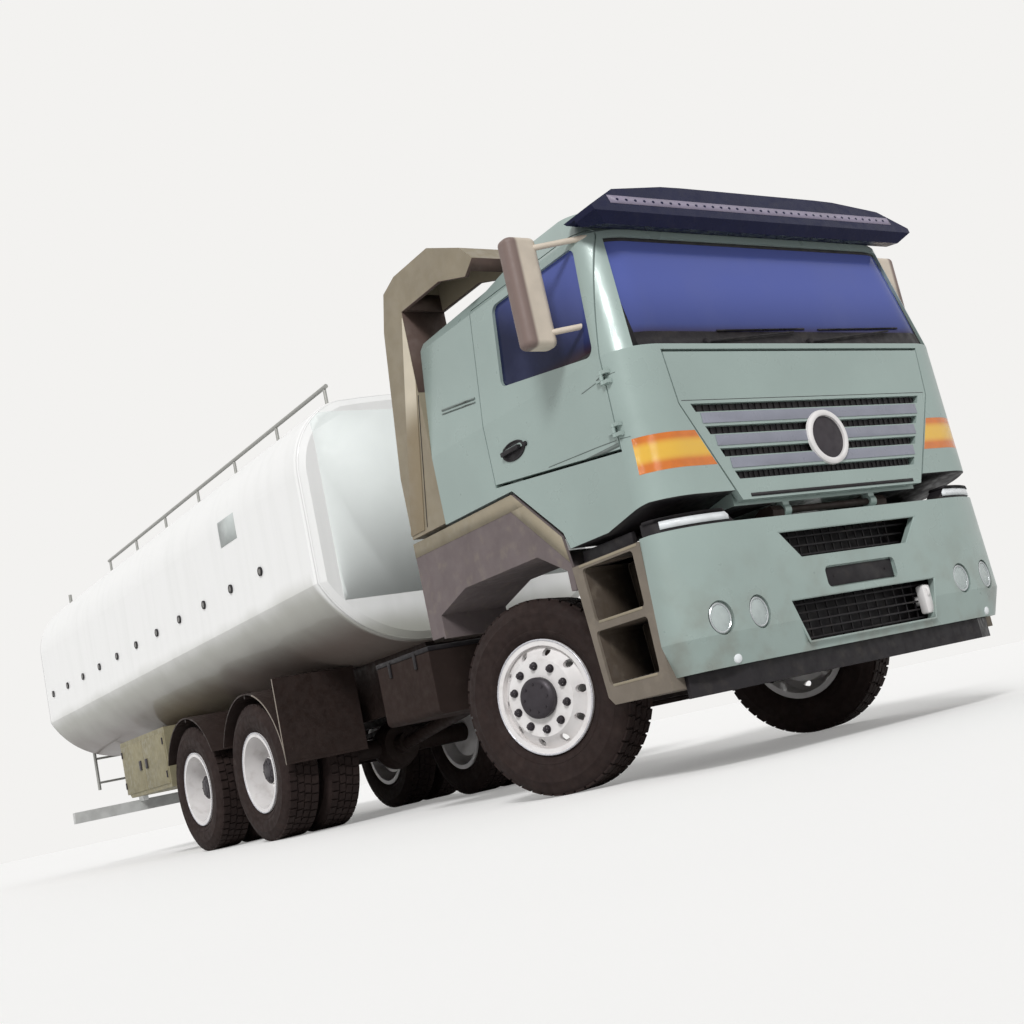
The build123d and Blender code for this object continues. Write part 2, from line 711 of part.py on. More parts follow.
FLAP_HINGE_X = CAB_FRONT - 26
FLAP_HINGE_Z = FLAP_TOP - 10
FLAP_PIN_RADIUS = 6


def flap_points(grow):
    """The front flap's outline, grown by this much, and more at its hinged top edge."""
    half = (
        (FLAP_TOP_HALF + grow, FLAP_TOP + 1.8 * grow),
        (FLAP_KNEE_HALF + grow, FLAP_KNEE),
        (FLAP_BOTTOM_HALF + grow, FLAP_BOTTOM - grow),
    )
    return [*half, *[(-y, z) for y, z in reversed(half)]]


def door_points(grow, sill_gap):
    """The door's side outline, grown by this much, and more along the slanted sill."""
    return (
        (DOOR_REAR - grow, DOOR_BOTTOM_REAR - sill_gap),
        (DOOR_FRONT + grow, DOOR_BOTTOM_FRONT - sill_gap),
        (DOOR_FRONT + grow, DOOR_TOP + grow),
        (DOOR_REAR - grow, DOOR_TOP + grow),
    )


WINDSCREEN_POINTS = (
    (-1085, CAB_WAIST + 4),
    (1085, CAB_WAIST + 4),
    (1015, CAB_HEADER - 38),
    (-1015, CAB_HEADER - 38),
)
WINDOW_POINTS = (
    (DOOR_REAR + WINDOW_MARGIN_REAR, SILL_REAR),
    (DOOR_FRONT - WINDOW_MARGIN_FRONT, SILL_FRONT),
    (DOOR_FRONT - WINDOW_MARGIN_FRONT - WINDOW_SLANT, WINDOW_TOP),
    (DOOR_REAR + WINDOW_MARGIN_REAR, WINDOW_TOP),
)

outer_form = cab_form(0)
inner_form = cab_form(CAB_WALL)
wall_shell = outer_form - inner_form
reach = CAB_HALF_WIDTH + 200
firewall = front_prism(
    ((-reach, CAB_BOTTOM), (reach, CAB_BOTTOM), (reach, CAB_WAIST), (-reach, CAB_WAIST)),
    CAB_FRONT - FIREWALL_DEPTH,
    CAB_FRONT + 50,
)
chin_floor = side_prism(
    (
        (CHIN_REAR - CAB_WALL, CAB_BOTTOM),
        (CHIN_REAR - CAB_WALL, CAB_BOTTOM + CHIN_RISE + CAB_WALL),
        (CAB_FRONT, CAB_BOTTOM + CHIN_RISE + CAB_WALL),
        (CAB_FRONT, CAB_BOTTOM),
    ),
    -reach,
    reach,
)
hollow = inner_form - side_prism(arch_points(CAB_WALL), -reach, reach) - firewall - chin_floor
cab_body = outer_form - side_prism(arch_points(0), -reach, reach) - hollow
for _, s in SIDES:
    door_room = side_prism(
        door_points(DOOR_GAP, DOOR_SILL_GAP), s * (DOOR_INNER - DOOR_GAP), s * reach
    )
    cab_body = cab_body - (wall_shell & door_room)
cab_body = cab_body - front_prism(WINDSCREEN_POINTS, CAB_FRONT - 330, CAB_FRONT + 50)
flap_recess = front_prism(flap_points(MOVING_GAP), CAB_FRONT - 62, CAB_FRONT + 50)
cab_body = cab_body - flap_recess
cab_body = cab_body - front_prism(
    (
        (-FLAP_BOTTOM_HALF - MOVING_GAP, CAB_BOTTOM - 10),
        (FLAP_BOTTOM_HALF + MOVING_GAP, CAB_BOTTOM - 10),
        (FLAP_BOTTOM_HALF + MOVING_GAP, FLAP_BOTTOM + 1),
        (-FLAP_BOTTOM_HALF - MOVING_GAP, FLAP_BOTTOM + 1),
    ),
    CAB_FRONT - 62,
    CAB_FRONT + 50,
)

# The lower front corners rise clear of the headlamps.
for _, s in SIDES:
    cab_body = cab_body - side_prism(
        (
            (CHIN_REAR, CAB_BOTTOM - 50),
            (CHIN_REAR, CAB_BOTTOM),
            (CHIN_FRONT, CAB_BOTTOM + CHIN_RISE),
            (CAB_FRONT + 60, CAB_BOTTOM + CHIN_RISE),
            (CAB_FRONT + 60, CAB_BOTTOM - 50),
        ),
        s * (FLAP_BOTTOM_HALF + MOVING_GAP),
        s * reach,
    )

INDICATOR_HIGH = INDICATOR_LOW + INDICATOR_HEIGHT
INDICATOR_REAR = CAB_FRONT - 110


def indicator_block(side, grow):
    """The corner lamp's place: a block round the cab's front corner, along the flap's slanted edge."""
    low = INDICATOR_LOW - grow
    high = INDICATOR_HIGH + grow
    inner_low = FLAP_KNEE_HALF + INDICATOR_GAP - (FLAP_KNEE - low) * FLAP_TAPER - grow
    inner_high = FLAP_KNEE_HALF + INDICATOR_GAP - (FLAP_KNEE - high) * FLAP_TAPER - grow
    with BuildPart() as block:
        with BuildSketch(Plane.XY.offset(low)):
            with BuildLine():
                Polyline(
                    (INDICATOR_REAR - grow, side * (CAB_HALF_WIDTH + 60)),
                    (INDICATOR_REAR - grow, side * (CAB_HALF_WIDTH - 44)),
                    (CAB_FRONT - 74, side * (FLAP_KNEE_HALF + 95)),
                    (CAB_FRONT - 34 - grow, side * (FLAP_KNEE_HALF - 20)),
                    (CAB_FRONT - 34 - grow, side * (FLAP_BOTTOM_HALF)),
                    (CAB_FRONT + 60, side * (FLAP_BOTTOM_HALF)),
                    (CAB_FRONT + 60, side * (CAB_HALF_WIDTH + 60)),
                    close=True,
                )
            make_face()
        extrude(amount=high - low)
    slant = front_prism(
        (
            (side * inner_low, low),
            (side * (CAB_HALF_WIDTH + 80), low),
            (side * (CAB_HALF_WIDTH + 80), high),
            (side * inner_high, high),
        ),
        CAB_FRONT - 200,
        CAB_FRONT + 80,
    )
    return block.part & slant


for _, s in SIDES:
    cab_body = cab_body - indicator_block(s, SEAT_GAP)

with BuildPart() as cab_shell:
    add(cab_body)
    for _, s in SIDES:
        eye_plane = Plane(origin=(TILT_X, s * TILT_EYE_Y, TILT_Z), x_dir=(1, 0, 0), z_dir=(0, -1, 0))
        with BuildSketch(eye_plane):
            Circle(TILT_EYE_RADIUS)
            with Locations((0, 25)):
                Rectangle(44, 50)
        extrude(amount=22, both=True)
        with BuildSketch(eye_plane):
            Circle(TILT_TUBE_RADIUS + RUNNING_CLEARANCE)
        extrude(amount=30, both=True, mode=Mode.SUBTRACT)
        with BuildSketch(Plane(origin=(FLAP_HINGE_X, s * (FLAP_TOP_HALF - 40), FLAP_HINGE_Z), z_dir=(0, s, 0))):
            Circle(FLAP_PIN_RADIUS)
        extrude(amount=80)
        for level in HINGE_LEVELS:
            for z_lug in (level - HINGE_EYE_HALF - 1 - HINGE_LUG, level + HINGE_EYE_HALF + 1):
                with BuildSketch(Plane.XY.offset(z_lug)):
                    with Locations((HINGE_X, s * HINGE_Y)):
                        Circle(HINGE_RADIUS)
                    with Locations((HINGE_X + 20, s * (HINGE_Y - 12))):
                        Rectangle(40, 30)
                extrude(amount=HINGE_LUG)
            with BuildSketch(Plane.XY.offset(level - HINGE_EYE_HALF - 2)):
                with Locations((HINGE_X, s * HINGE_Y)):
                    Circle(HINGE_PIN_RADIUS)
            extrude(amount=2 * HINGE_EYE_HALF + 4)
keep(cab_shell, "cab_shell")

# The tube the cab tilts on, with a bracket from each rail
with BuildPart() as cab_pivot:
    with BuildSketch(Plane(origin=(TILT_X, 0, TILT_Z), z_dir=(0, 1, 0))):
        Circle(TILT_TUBE_RADIUS)
    extrude(amount=RAIL_OUTER_Y, both=True)
    for _, s in SIDES:
        add(
            side_prism(
                (
                    (FRAME_FRONT - 60, FRAME_TOP + SEAT_GAP),
                    (FRAME_FRONT + 66, FRAME_TOP + SEAT_GAP),
                    (FRAME_FRONT + 66, BUMPER_TOP + 20),
                    (TILT_X + 20, TILT_Z - 34),
                    (TILT_X + 26, TILT_Z),
                    (TILT_X + 8, TILT_Z + 26),
                    (TILT_X - 60, TILT_Z + 26),
                    (FRAME_FRONT - 60, FRAME_TOP + 70),
                ),
                s * (RAIL_OUTER_Y - RAIL_FLANGE),
                s * RAIL_OUTER_Y,
            )
        )
keep(cab_pivot, "cab_pivot")

with BuildPart() as indicators:
    for _, s in SIDES:
        add(outer_form & indicator_block(s, 0))
keep(indicators, "indicators")

with BuildPart() as windscreen:
    add(
        (cab_form(GLASS_INSET) - cab_form(GLASS_INSET + GLASS_THICKNESS))
        & front_prism(
            [(y * 0.9995, z) for y, z in WINDSCREEN_POINTS], CAB_FRONT - 300, CAB_FRONT + 50
        )
    )
keep(windscreen, "windscreen")

# The front flap hinges at its top edge and carries the slotted grille.
with BuildPart() as front_flap:
    add(outer_form & front_prism(flap_points(0), CAB_FRONT - FLAP_THICKNESS, CAB_FRONT + 50))
    slot_top_half = FLAP_KNEE_HALF - GRILLE_MARGIN
    for row in range(GRILLE_SLOTS):
        z_high = GRILLE_TOP - row * GRILLE_PITCH
        z_low = z_high - GRILLE_SLOT_HEIGHT
        high_half = slot_top_half - max(0, FLAP_KNEE - z_high) * FLAP_TAPER
        low_half = slot_top_half - max(0, FLAP_KNEE - z_low) * FLAP_TAPER
        with BuildSketch(Plane.YZ.offset(CAB_FRONT - FLAP_THICKNESS - 20)):
            with BuildLine():
                Polyline(
                    (-high_half, z_high), (high_half, z_high), (low_half, z_low), (-low_half, z_low), close=True
                )
            make_face()
        extrude(amount=FLAP_THICKNESS + 70, mode=Mode.SUBTRACT)
    for _, s in SIDES:
        with BuildSketch(Plane(origin=(FLAP_HINGE_X, s * (FLAP_TOP_HALF - 45), FLAP_HINGE_Z), z_dir=(0, s, 0))):
            Circle(FLAP_PIN_RADIUS + RUNNING_CLEARANCE)
        extrude(amount=80, mode=Mode.SUBTRACT)
keep(front_flap, "front_flap")

# Doors: the same wall, cut free, with a window opening, glass, handle and mirror
for side_name, s in SIDES:
    with BuildPart() as door:
        add(wall_shell & side_prism(door_points(0, 0), s * DOOR_INNER, s * reach))
        with BuildSketch(Plane(origin=(0, s * reach, 0), x_dir=(1, 0, 0), z_dir=(0, -1, 0))):
            with BuildLine():
                Polyline(*WINDOW_POINTS, close=True)
            make_face()
            fillet(vertices(), 45)
        extrude(amount=s * 450, mode=Mode.SUBTRACT)
        with BuildSketch(Plane(origin=(0, s * CAB_HALF_WIDTH, 0), x_dir=(1, 0, 0), z_dir=(0, -1, 0))):
            with Locations((DOOR_REAR + 215, CAB_WAIST - 200)):
                RectangleRounded(190, 62, 24)
        extrude(amount=s * 26, mode=Mode.SUBTRACT)
        with BuildSketch(Plane(origin=(0, s * (CAB_HALF_WIDTH - 22), 0), x_dir=(1, 0, 0), z_dir=(0, -1, 0))):
            with Locations((DOOR_REAR + 215, CAB_WAIST - 194)):
                RectangleRounded(220, 24, 11)
        extrude(amount=-s * 24)
        for level in HINGE_LEVELS:
            with BuildSketch(Plane.XY.offset(level - HINGE_EYE_HALF)):
                with Locations((HINGE_X, s * HINGE_Y)):
                    Circle(HINGE_RADIUS)
                with Locations((HINGE_X - 24, s * (HINGE_Y - 12))):
                    Rectangle(40, 30)
                with Locations((HINGE_X, s * HINGE_Y)):
                    Circle(HINGE_PIN_RADIUS + RUNNING_CLEARANCE, mode=Mode.SUBTRACT)
            extrude(amount=2 * HINGE_EYE_HALF)
    keep(door, f"door_{side_name}")

    with BuildPart() as door_glass:
        with BuildSketch(Plane(origin=(0, s * reach, 0), x_dir=(1, 0, 0), z_dir=(0, -1, 0))):
            with BuildLine():
                Polyline(*WINDOW_POINTS, close=True)
            make_face()
            fillet(vertices(), 45)
            offset(amount=-SEAT_GAP)
        extrude(amount=s * 450)
        add(cab_form(GLASS_INSET) - cab_form(GLASS_INSET + GLASS_THICKNESS), mode=Mode.INTERSECT)
    keep(door_glass, f"door_glass_{side_name}")

MIRROR_X = X_STEER + 1000
MIRROR_Y = 1355
MIRROR_LOW = CAB_WAIST + 125
MIRROR_HIGH = MIRROR_LOW + 570
MIRROR_WIDTH = 190
MIRROR_DEPTH = 110
MIRROR_ARM_END = CAB_HALF_WIDTH - 145
ARM_RADIUS = 15
for side_name, s in SIDES:
    with BuildPart() as mirror:
        with BuildSketch(Plane.XY.offset(MIRROR_LOW)):
            with Locations((MIRROR_X, s * MIRROR_Y)):
                RectangleRounded(MIRROR_DEPTH, MIRROR_WIDTH, 45)
        extrude(amount=MIRROR_HIGH - MIRROR_LOW)
        fillet(edges().group_by(Axis.Z)[-1] + edges().group_by(Axis.Z)[0], 30)
        for z_arm in (CAB_HEADER - 13, MIRROR_LOW + 70):
            reach_x = DOOR_FRONT - 26 - MIRROR_X
            reach_y = MIRROR_Y - MIRROR_ARM_END
            with BuildSketch(Plane(origin=(MIRROR_X, s * MIRROR_Y, z_arm), z_dir=(reach_x, -s * reach_y, 0))):
                Circle(ARM_RADIUS)
            extrude(amount=(reach_x**2 + reach_y**2) ** 0.5)
        add(outer_form, mode=Mode.SUBTRACT)
    keep(mirror, f"mirror_{side_name}")

# Sun visor: a wing over the windscreen, drawn from its side and front outlines
VISOR_REACH = 8
with BuildPart() as sun_visor:
    add(
        side_prism(
            (
                (CAB_FRONT - 190, CAB_HEADER + 20),
                (CAB_FRONT + VISOR_REACH - 40, CAB_HEADER - 25),
                (CAB_FRONT + VISOR_REACH, CAB_HEADER + 25),
                (CAB_FRONT - 60, CAB_ROOF + 36),
                (CAB_FRONT - 250, CAB_ROOF + 50),
                (CAB_FRONT - 330, CAB_ROOF - 30),
            ),
            -1200,
            1200,
        )
        & front_prism(
            (
                (-1075, CAB_HEADER - 30),
                (1075, CAB_HEADER - 30),
                (1165, CAB_HEADER + 28),
                (1172, CAB_HEADER + 58),
                (985, CAB_ROOF - 12),
                (640, CAB_ROOF + 32),
                (0, CAB_ROOF + 50),
                (-640, CAB_ROOF + 32),
                (-985, CAB_ROOF - 12),
                (-1172, CAB_HEADER + 58),
                (-1165, CAB_HEADER + 28),
            ),
            CAB_FRONT - 400,
            CAB_FRONT + 300,
        )
        - cab_form(-SEAT_GAP)
        - side_prism(
            (
                (CAB_FRONT - 400, CAB_HEADER - 60),
                (DOOR_FRONT + 26, CAB_HEADER - 60),
                (DOOR_FRONT + 26, DOOR_TOP + 24),
                (CAB_FRONT - 400, DOOR_TOP + 24),
            ),
            -1300,
            1300,
        )
    )
keep(sun_visor, "sun_visor")

# Interior: dashboard with its wheel, and two seats on the high floor
FLOOR = ARCH_TOP + CAB_WALL
SEAT_X = X_STEER + 120
with BuildPart() as dashboard:
    add(
        side_prism(
            (
                (CAB_FRONT - FIREWALL_DEPTH - SEAT_GAP, CAB_WAIST - 260),
                (CAB_FRONT - FIREWALL_DEPTH - SEAT_GAP, CAB_WAIST - 8),
                (CAB_FRONT - FIREWALL_DEPTH - 220, CAB_WAIST - 20),
                (CAB_FRONT - FIREWALL_DEPTH - 260, CAB_WAIST - 120),
                (CAB_FRONT - FIREWALL_DEPTH - 160, CAB_WAIST - 260),
            ),
            -(CAB_HALF_WIDTH - CAB_WALL - 12),
            CAB_HALF_WIDTH - CAB_WALL - 12,
        )
    )
    wheel_centre = (CAB_FRONT - FIREWALL_DEPTH - 350, 560, CAB_WAIST + 30)
    wheel_plane_tilted = Plane(origin=wheel_centre, z_dir=(-0.6, 0, 0.8))
    with BuildSketch(wheel_plane_tilted):
        Circle(225)
        Circle(195, mode=Mode.SUBTRACT)
        Rectangle(396, 44)
        Circle(60)
    extrude(amount=22)
    with BuildSketch(wheel_plane_tilted):
        Circle(28)
    extrude(amount=-330)
keep(dashboard, "dashboard")

with BuildPart() as seats:
    for _, s in SIDES:
        with BuildSketch(Plane.XY.offset(FLOOR + SEAT_GAP)):
            with Locations((SEAT_X, s * 560)):
                Rectangle(380, 380)
        extrude(amount=190)
        with BuildSketch(Plane.XY.offset(FLOOR + 190)):
            with Locations((SEAT_X + 20, s * 560)):
                RectangleRounded(520, 500, 60)
        extrude(amount=130)
        with BuildSketch(Plane(origin=(0, s * 560 - 240, 0), x_dir=(1, 0, 0), z_dir=(0, -1, 0))):
            with BuildLine():
                Polyline(
                    (SEAT_X - 240, FLOOR + 260),
                    (SEAT_X - 110, FLOOR + 260),
                    (SEAT_X - 230, FLOOR + 860),
                    (SEAT_X - 330, FLOOR + 860),
                    close=True,
                )
            make_face()
        extrude(amount=-480)
keep(seats, "seats")

# Air duct stack behind each cab corner: a tall box with a hooded head over the roof
STACK_REAR = CAB_REAR - 390
STACK_BOTTOM = ARCH_TOP + 10
STACK_TOP = CAB_ROOF + 295
STACK_INNER = 900
STACK_POINTS = (
    (CAB_REAR - SEAT_GAP, STACK_BOTTOM),
    (CAB_REAR - SEAT_GAP, CAB_ROOF + 70),
    (CAB_REAR + 440, CAB_ROOF + 70),
    (CAB_REAR + 700, CAB_ROOF - 14),
    (CAB_REAR + 800, CAB_ROOF + 52),
    (CAB_REAR + 700, STACK_TOP - 140),
    (CAB_REAR + 390, STACK_TOP),
    (CAB_REAR - 10, STACK_TOP),
    (STACK_REAR + 230, STACK_TOP - 50),
    (STACK_REAR + 148, CAB_ROOF + 30),
    (STACK_REAR, CAB_WAIST - 10),
    (STACK_REAR, STACK_BOTTOM),
)
with BuildPart() as air_ducts:
    for _, s in SIDES:
        duct = side_prism(STACK_POINTS, s * STACK_INNER, s * CAB_HALF_WIDTH)
        mouth = side_prism(
            (
                (CAB_REAR + 24, CAB_ROOF + 40),
                (CAB_REAR + 440, CAB_ROOF + 40),
                (CAB_REAR + 690, CAB_ROOF - 44),
                (CAB_REAR + 765, CAB_ROOF + 48),
                (CAB_REAR + 680, STACK_TOP - 164),
                (CAB_REAR + 380, STACK_TOP - 28),
                (CAB_REAR + 24, STACK_TOP - 28),
            ),
            s * (STACK_INNER + 24),
            s * (CAB_HALF_WIDTH - 24),
        )
        add(duct - mouth - cab_form(-SEAT_GAP))
keep(air_ducts, "air_ducts")


# Front bumper: a deep shell that wraps round the corners, with two intakes cut through it


def bumper_form(inset, low, high):
    """The bumper's plan outline with broad corners, pulled in towards its lower edge."""
    with BuildPart() as form:
        for z, front_in, side_in in (
            (low, 26, 48),
            (BUMPER_BOTTOM + 150, 0, 0),
            (high, 0, 18),
        ):
            with BuildSketch(Plane.XY.offset(z)):
                rounded_front(
                    X_FRONT - BUMPER_DEPTH - inset,
                    X_FRONT - front_in - inset,
                    BUMPER_HALF_WIDTH - side_in - inset,
                    BUMPER_CORNER_DEPTH - inset,
                    BUMPER_CORNER_SPREAD - inset,
                )
        loft(ruled=True)
    return form.part


LAMP_LOW = BUMPER_TOP + SEAT_GAP
LAMP_TOP = BUMPER_TOP + LAMP_HEIGHT
bumper_solid = bumper_form(0, BUMPER_BOTTOM, BUMPER_TOP)
bumper_hollow = bumper_form(BUMPER_WALL, BUMPER_BOTTOM - 1, BUMPER_TOP - 30)
with BuildPart() as fog_rooms:
    with BuildSketch(Plane.YZ.offset(X_FRONT - 200)):
        with Locations((-985, 668), (-757, 666), (757, 666), (985, 668)):
            Ellipse(66, 80)
    extrude(amount=250)
fog_recess = fog_rooms.part & (bumper_solid - bumper_form(FOG_RECESS, BUMPER_BOTTOM - 1, BUMPER_TOP + 1))
with BuildPart() as front_bumper:
    add(bumper_solid - bumper_hollow - fog_recess)
    with BuildSketch(Plane.YZ.offset(X_FRONT - 150)):
        with BuildLine():
            Polyline((-518, 1028), (518, 1028), (392, 888), (-392, 888), close=True)
        make_face()
        with BuildLine():
            Polyline((-540, 694), (540, 694), (472, 484), (-472, 484), close=True)
        make_face()
    extrude(amount=300, mode=Mode.SUBTRACT)
    with BuildSketch(Plane.YZ.offset(X_FRONT - 20)):
        with Locations((0, 778)):
            RectangleRounded(520, 108, 30)
    extrude(amount=30, mode=Mode.SUBTRACT)
keep(front_bumper, "front_bumper")

# Bumper carrier: the dark beam behind the intakes, with the brackets to the rails and the lower valance
with BuildPart() as bumper_beam:
    with BuildSketch(Plane.XY.offset(470)):
        with Locations((X_FRONT - 180, 0)):
            Rectangle(56, 2 * 900)
    extrude(amount=570)
    with BuildSketch(Plane.XY.offset(BUMPER_BOTTOM - VALANCE_HEIGHT)):
        with BuildLine():
            Polyline(
                (X_FRONT - BUMPER_DEPTH + 3, -1120),
                (X_FRONT - BUMPER_DEPTH + 3, 1120),
                (X_FRONT - 190, 1120),
                (X_FRONT - 52, 860),
                (X_FRONT - 52, -860),
                (X_FRONT - 190, -1120),
                close=True,
            )
        make_face()
    extrude(amount=VALANCE_HEIGHT - SEAT_GAP)
    with BuildSketch(Plane.XY.offset(BUMPER_BOTTOM - VALANCE_HEIGHT)):
        with Locations((X_FRONT - 180, 0)):
            Rectangle(56, 2 * 900)
    extrude(amount=470 - BUMPER_BOTTOM + VALANCE_HEIGHT + 1)
    for _, s in SIDES:
        with BuildSketch(Plane.YZ.offset(FRAME_FRONT + SEAT_GAP)):
            with Locations((s * (RAIL_OUTER_Y - RAIL_FLANGE / 2), FRAME_TOP - RAIL_HEIGHT / 2)):
                Rectangle(RAIL_FLANGE, RAIL_HEIGHT)
        extrude(amount=X_FRONT - 180 - FRAME_FRONT)
keep(bumper_beam, "bumper_beam")

with BuildPart() as headlamps:
    for _, s in SIDES:
        add(
            (
                bumper_form(14, BUMPER_BOTTOM, LAMP_TOP)
                - bumper_form(BUMPER_WALL + 60, BUMPER_BOTTOM - 1, LAMP_TOP + 1)
            )
            & front_prism(
                (
                    (s * LAMP_INNER, LAMP_LOW),
                    (s * (LAMP_INNER + 70), LAMP_TOP),
                    (s * 1300, LAMP_TOP),
                    (s * 1300, LAMP_LOW),
                ),
                X_FRONT - 205,
                X_FRONT + 100,
            )
        )
keep(headlamps, "headlamps")


# Steps and front mudguards, fixed to the frame on each side


STEP_REAR = X_STEER + 668
STEP_FRONT = X_FRONT - BUMPER_DEPTH - SEAT_GAP
STEP_TOP = CAB_BOTTOM - 95
STEP_BOTTOM = 392
STEP_INNER = 760
STEP_OUTER = 1200
with BuildPart() as step_wells:
    for _, s in SIDES:
        with BuildSketch(Plane(origin=(0, s * STEP_OUTER, 0), x_dir=(1, 0, 0), z_dir=(0, -1, 0))):
            with BuildLine():
                Polyline(
                    (STEP_REAR, STEP_TOP),
                    (STEP_REAR + 60, STEP_BOTTOM + 40),
                    (STEP_REAR + 100, STEP_BOTTOM),
                    (STEP_FRONT, STEP_BOTTOM),
                    (STEP_FRONT, STEP_TOP),
                    close=True,
                )
            make_face()
        extrude(amount=s * (STEP_OUTER - STEP_INNER))
        for z_low, z_high in ((STEP_BOTTOM + 95, 755), (800, STEP_TOP - 25)):
            with BuildSketch(Plane(origin=(0, s * STEP_OUTER, 0), x_dir=(1, 0, 0), z_dir=(0, -1, 0))):
                with BuildLine():
                    Polyline(
                        (STEP_REAR + 95, z_low),
                        (STEP_FRONT - 60, z_low),
                        (STEP_FRONT - 60, z_high),
                        (STEP_REAR + 75, z_high),
                        close=True,
                    )
                make_face()
                fillet(vertices(), 22)
            extrude(amount=s * 300, mode=Mode.SUBTRACT)
keep(step_wells, "step_wells")

MUDGUARD_OUTER = 1198
MUDGUARD_INNER = 745
MUDGUARD_WALL = 16
MUDGUARD_TOP = ARCH_TOP - 18
WELL_TOP = 1215


def mudguard_well(grow):
    """The inside of the front wheel well, grown by the mudguard's wall."""
    return (
        (X_STEER - 640 - grow, 800),
        (X_STEER - 640 - grow, 1120 + grow),
        (X_STEER - 330 - 0.5 * grow, WELL_TOP + grow),
        (X_STEER + 400 + 0.5 * grow, WELL_TOP + grow),
        (X_STEER + 625 + grow, 1090 + 0.3 * grow),
        (X_STEER + 625 + grow, 800),
    )


with BuildPart() as front_mudguards:
    for _, s in SIDES:
        outline = (
            (X_STEER - 790, 1000),
            (X_STEER - 790, MUDGUARD_TOP),
            (X_STEER + 290, MUDGUARD_TOP),
            (X_STEER + 640, CAB_BOTTOM + 72),
            (STEP_REAR - SEAT_GAP, STEP_TOP + 12),
            (STEP_REAR - SEAT_GAP, 985),
            (X_STEER + 560, 985),
            (X_STEER - 560, 985),
            (X_STEER - 640, 1000),
        )
        plate = side_prism(outline, s * (MUDGUARD_OUTER - MUDGUARD_WALL), s * MUDGUARD_OUTER)
        lining_room = side_prism(
            mudguard_well(MUDGUARD_WALL), s * MUDGUARD_INNER, s * MUDGUARD_OUTER
        ) & side_prism(
            (
                (X_STEER - 790, 985),
                (X_STEER - 790, MUDGUARD_TOP),
                (X_STEER + 655, MUDGUARD_TOP),
                (X_STEER + 655, 985),
            ),
            s * MUDGUARD_INNER,
            s * MUDGUARD_OUTER,
        )
        top_lip = side_prism(
            (
                (X_STEER - 790, MUDGUARD_TOP - 20),
                (X_STEER - 790, MUDGUARD_TOP),
                (X_STEER + 290, MUDGUARD_TOP),
                (X_STEER + 640, CAB_BOTTOM + 72),
                (X_STEER + 620, CAB_BOTTOM + 64),
                (X_STEER + 282, MUDGUARD_TOP - 20),
            ),
            s * (MUDGUARD_OUTER - 120),
            s * MUDGUARD_OUTER,
        )
        add(plate + lining_room + top_lip - side_prism(mudguard_well(0), s * 600, s * 1300))
keep(front_mudguards, "front_mudguards")

# Rear mudguards: a curved sheet over each twin wheel with a flat flap in front
REAR_GUARD_RADIUS = TYRE_RADIUS + 75
SILL_OUTER = RAIL_OUTER_Y - 5
REAR_GUARD_INNER = 560
REAR_GUARD_OUTER = 1225
with BuildPart() as rear_mudguards:
    for _, s in SIDES:
        y_low = min(s * REAR_GUARD_INNER, s * REAR_GUARD_OUTER)
        for x_drive, cut_shift in ((X_DRIVE_1, -400), (X_DRIVE_2, 0)):
            with BuildSketch(Plane(origin=(0, y_low, 0), x_dir=(1, 0, 0), z_dir=(0, -1, 0))):
                with Locations((x_drive, TYRE_RADIUS)):
                    Circle(REAR_GUARD_RADIUS + 12)
                    Circle(REAR_GUARD_RADIUS, mode=Mode.SUBTRACT)
                with Locations((x_drive + cut_shift, TYRE_RADIUS - 800 + 260)):
                    Rectangle(1600, 1600, mode=Mode.SUBTRACT)
                with Locations((x_drive + 400, TYRE_RADIUS - 800)):
                    Rectangle(1600, 1600, mode=Mode.SUBTRACT)
            extrude(amount=-(REAR_GUARD_OUTER - REAR_GUARD_INNER))
            stay_from = Plane(
                origin=(x_drive, s * (SILL_OUTER + SEAT_GAP), TYRE_RADIUS + REAR_GUARD_RADIUS - 12),
                z_dir=(0, s, 0),
            )
            with BuildSketch(stay_from):
                Circle(16)
            extrude(amount=REAR_GUARD_OUTER - SILL_OUTER - SEAT_GAP - 20)
        with BuildSketch(Plane.XY.offset(540)):
            with Locations((X_DRIVE_1 + REAR_GUARD_RADIUS + 6, s * (REAR_GUARD_INNER + REAR_GUARD_OUTER) / 2)):
                Rectangle(14, REAR_GUARD_OUTER - REAR_GUARD_INNER)
        extrude(amount=610)
keep(rear_mudguards, "rear_mudguards")


# Tank: a closed shell of box-like section with rounded shoulders and a boat-shaped underside


def tank_outline(inset):
    """The tank's cross-section, drawn in by the wall."""
    half = TANK_HALF_WIDTH - inset
    with BuildLine() as outline:
        for s in (-1, 1):
            Line((0, TANK_BOTTOM + inset), (s * TANK_SEAT_HALF, TANK_BOTTOM + inset))
            ThreePointArc(
                (s * TANK_SEAT_HALF, TANK_BOTTOM + inset),
                (s * (half * 0.5 + TANK_SEAT_HALF * 0.5 + 125), (TANK_BOTTOM + TANK_SIDE_LOW) / 2 - 85 + inset),
                (s * half, TANK_SIDE_LOW),
            )
            Line((s * half, TANK_SIDE_LOW), (s * half, TANK_SIDE_HIGH))
            ThreePointArc(
                (s * half, TANK_SIDE_HIGH),
                (s * (half - 118), TANK_SIDE_HIGH + 335 - inset * 0.5),
                (s * (TANK_SHOULDER_HALF - inset * 0.5), TANK_SHOULDER - inset),
            )
        ThreePointArc(
            (-(TANK_SHOULDER_HALF - inset * 0.5), TANK_SHOULDER - inset),
            (0, TANK_TOP - inset),
            (TANK_SHOULDER_HALF - inset * 0.5, TANK_SHOULDER - inset),
        )
    make_face(outline.edges())


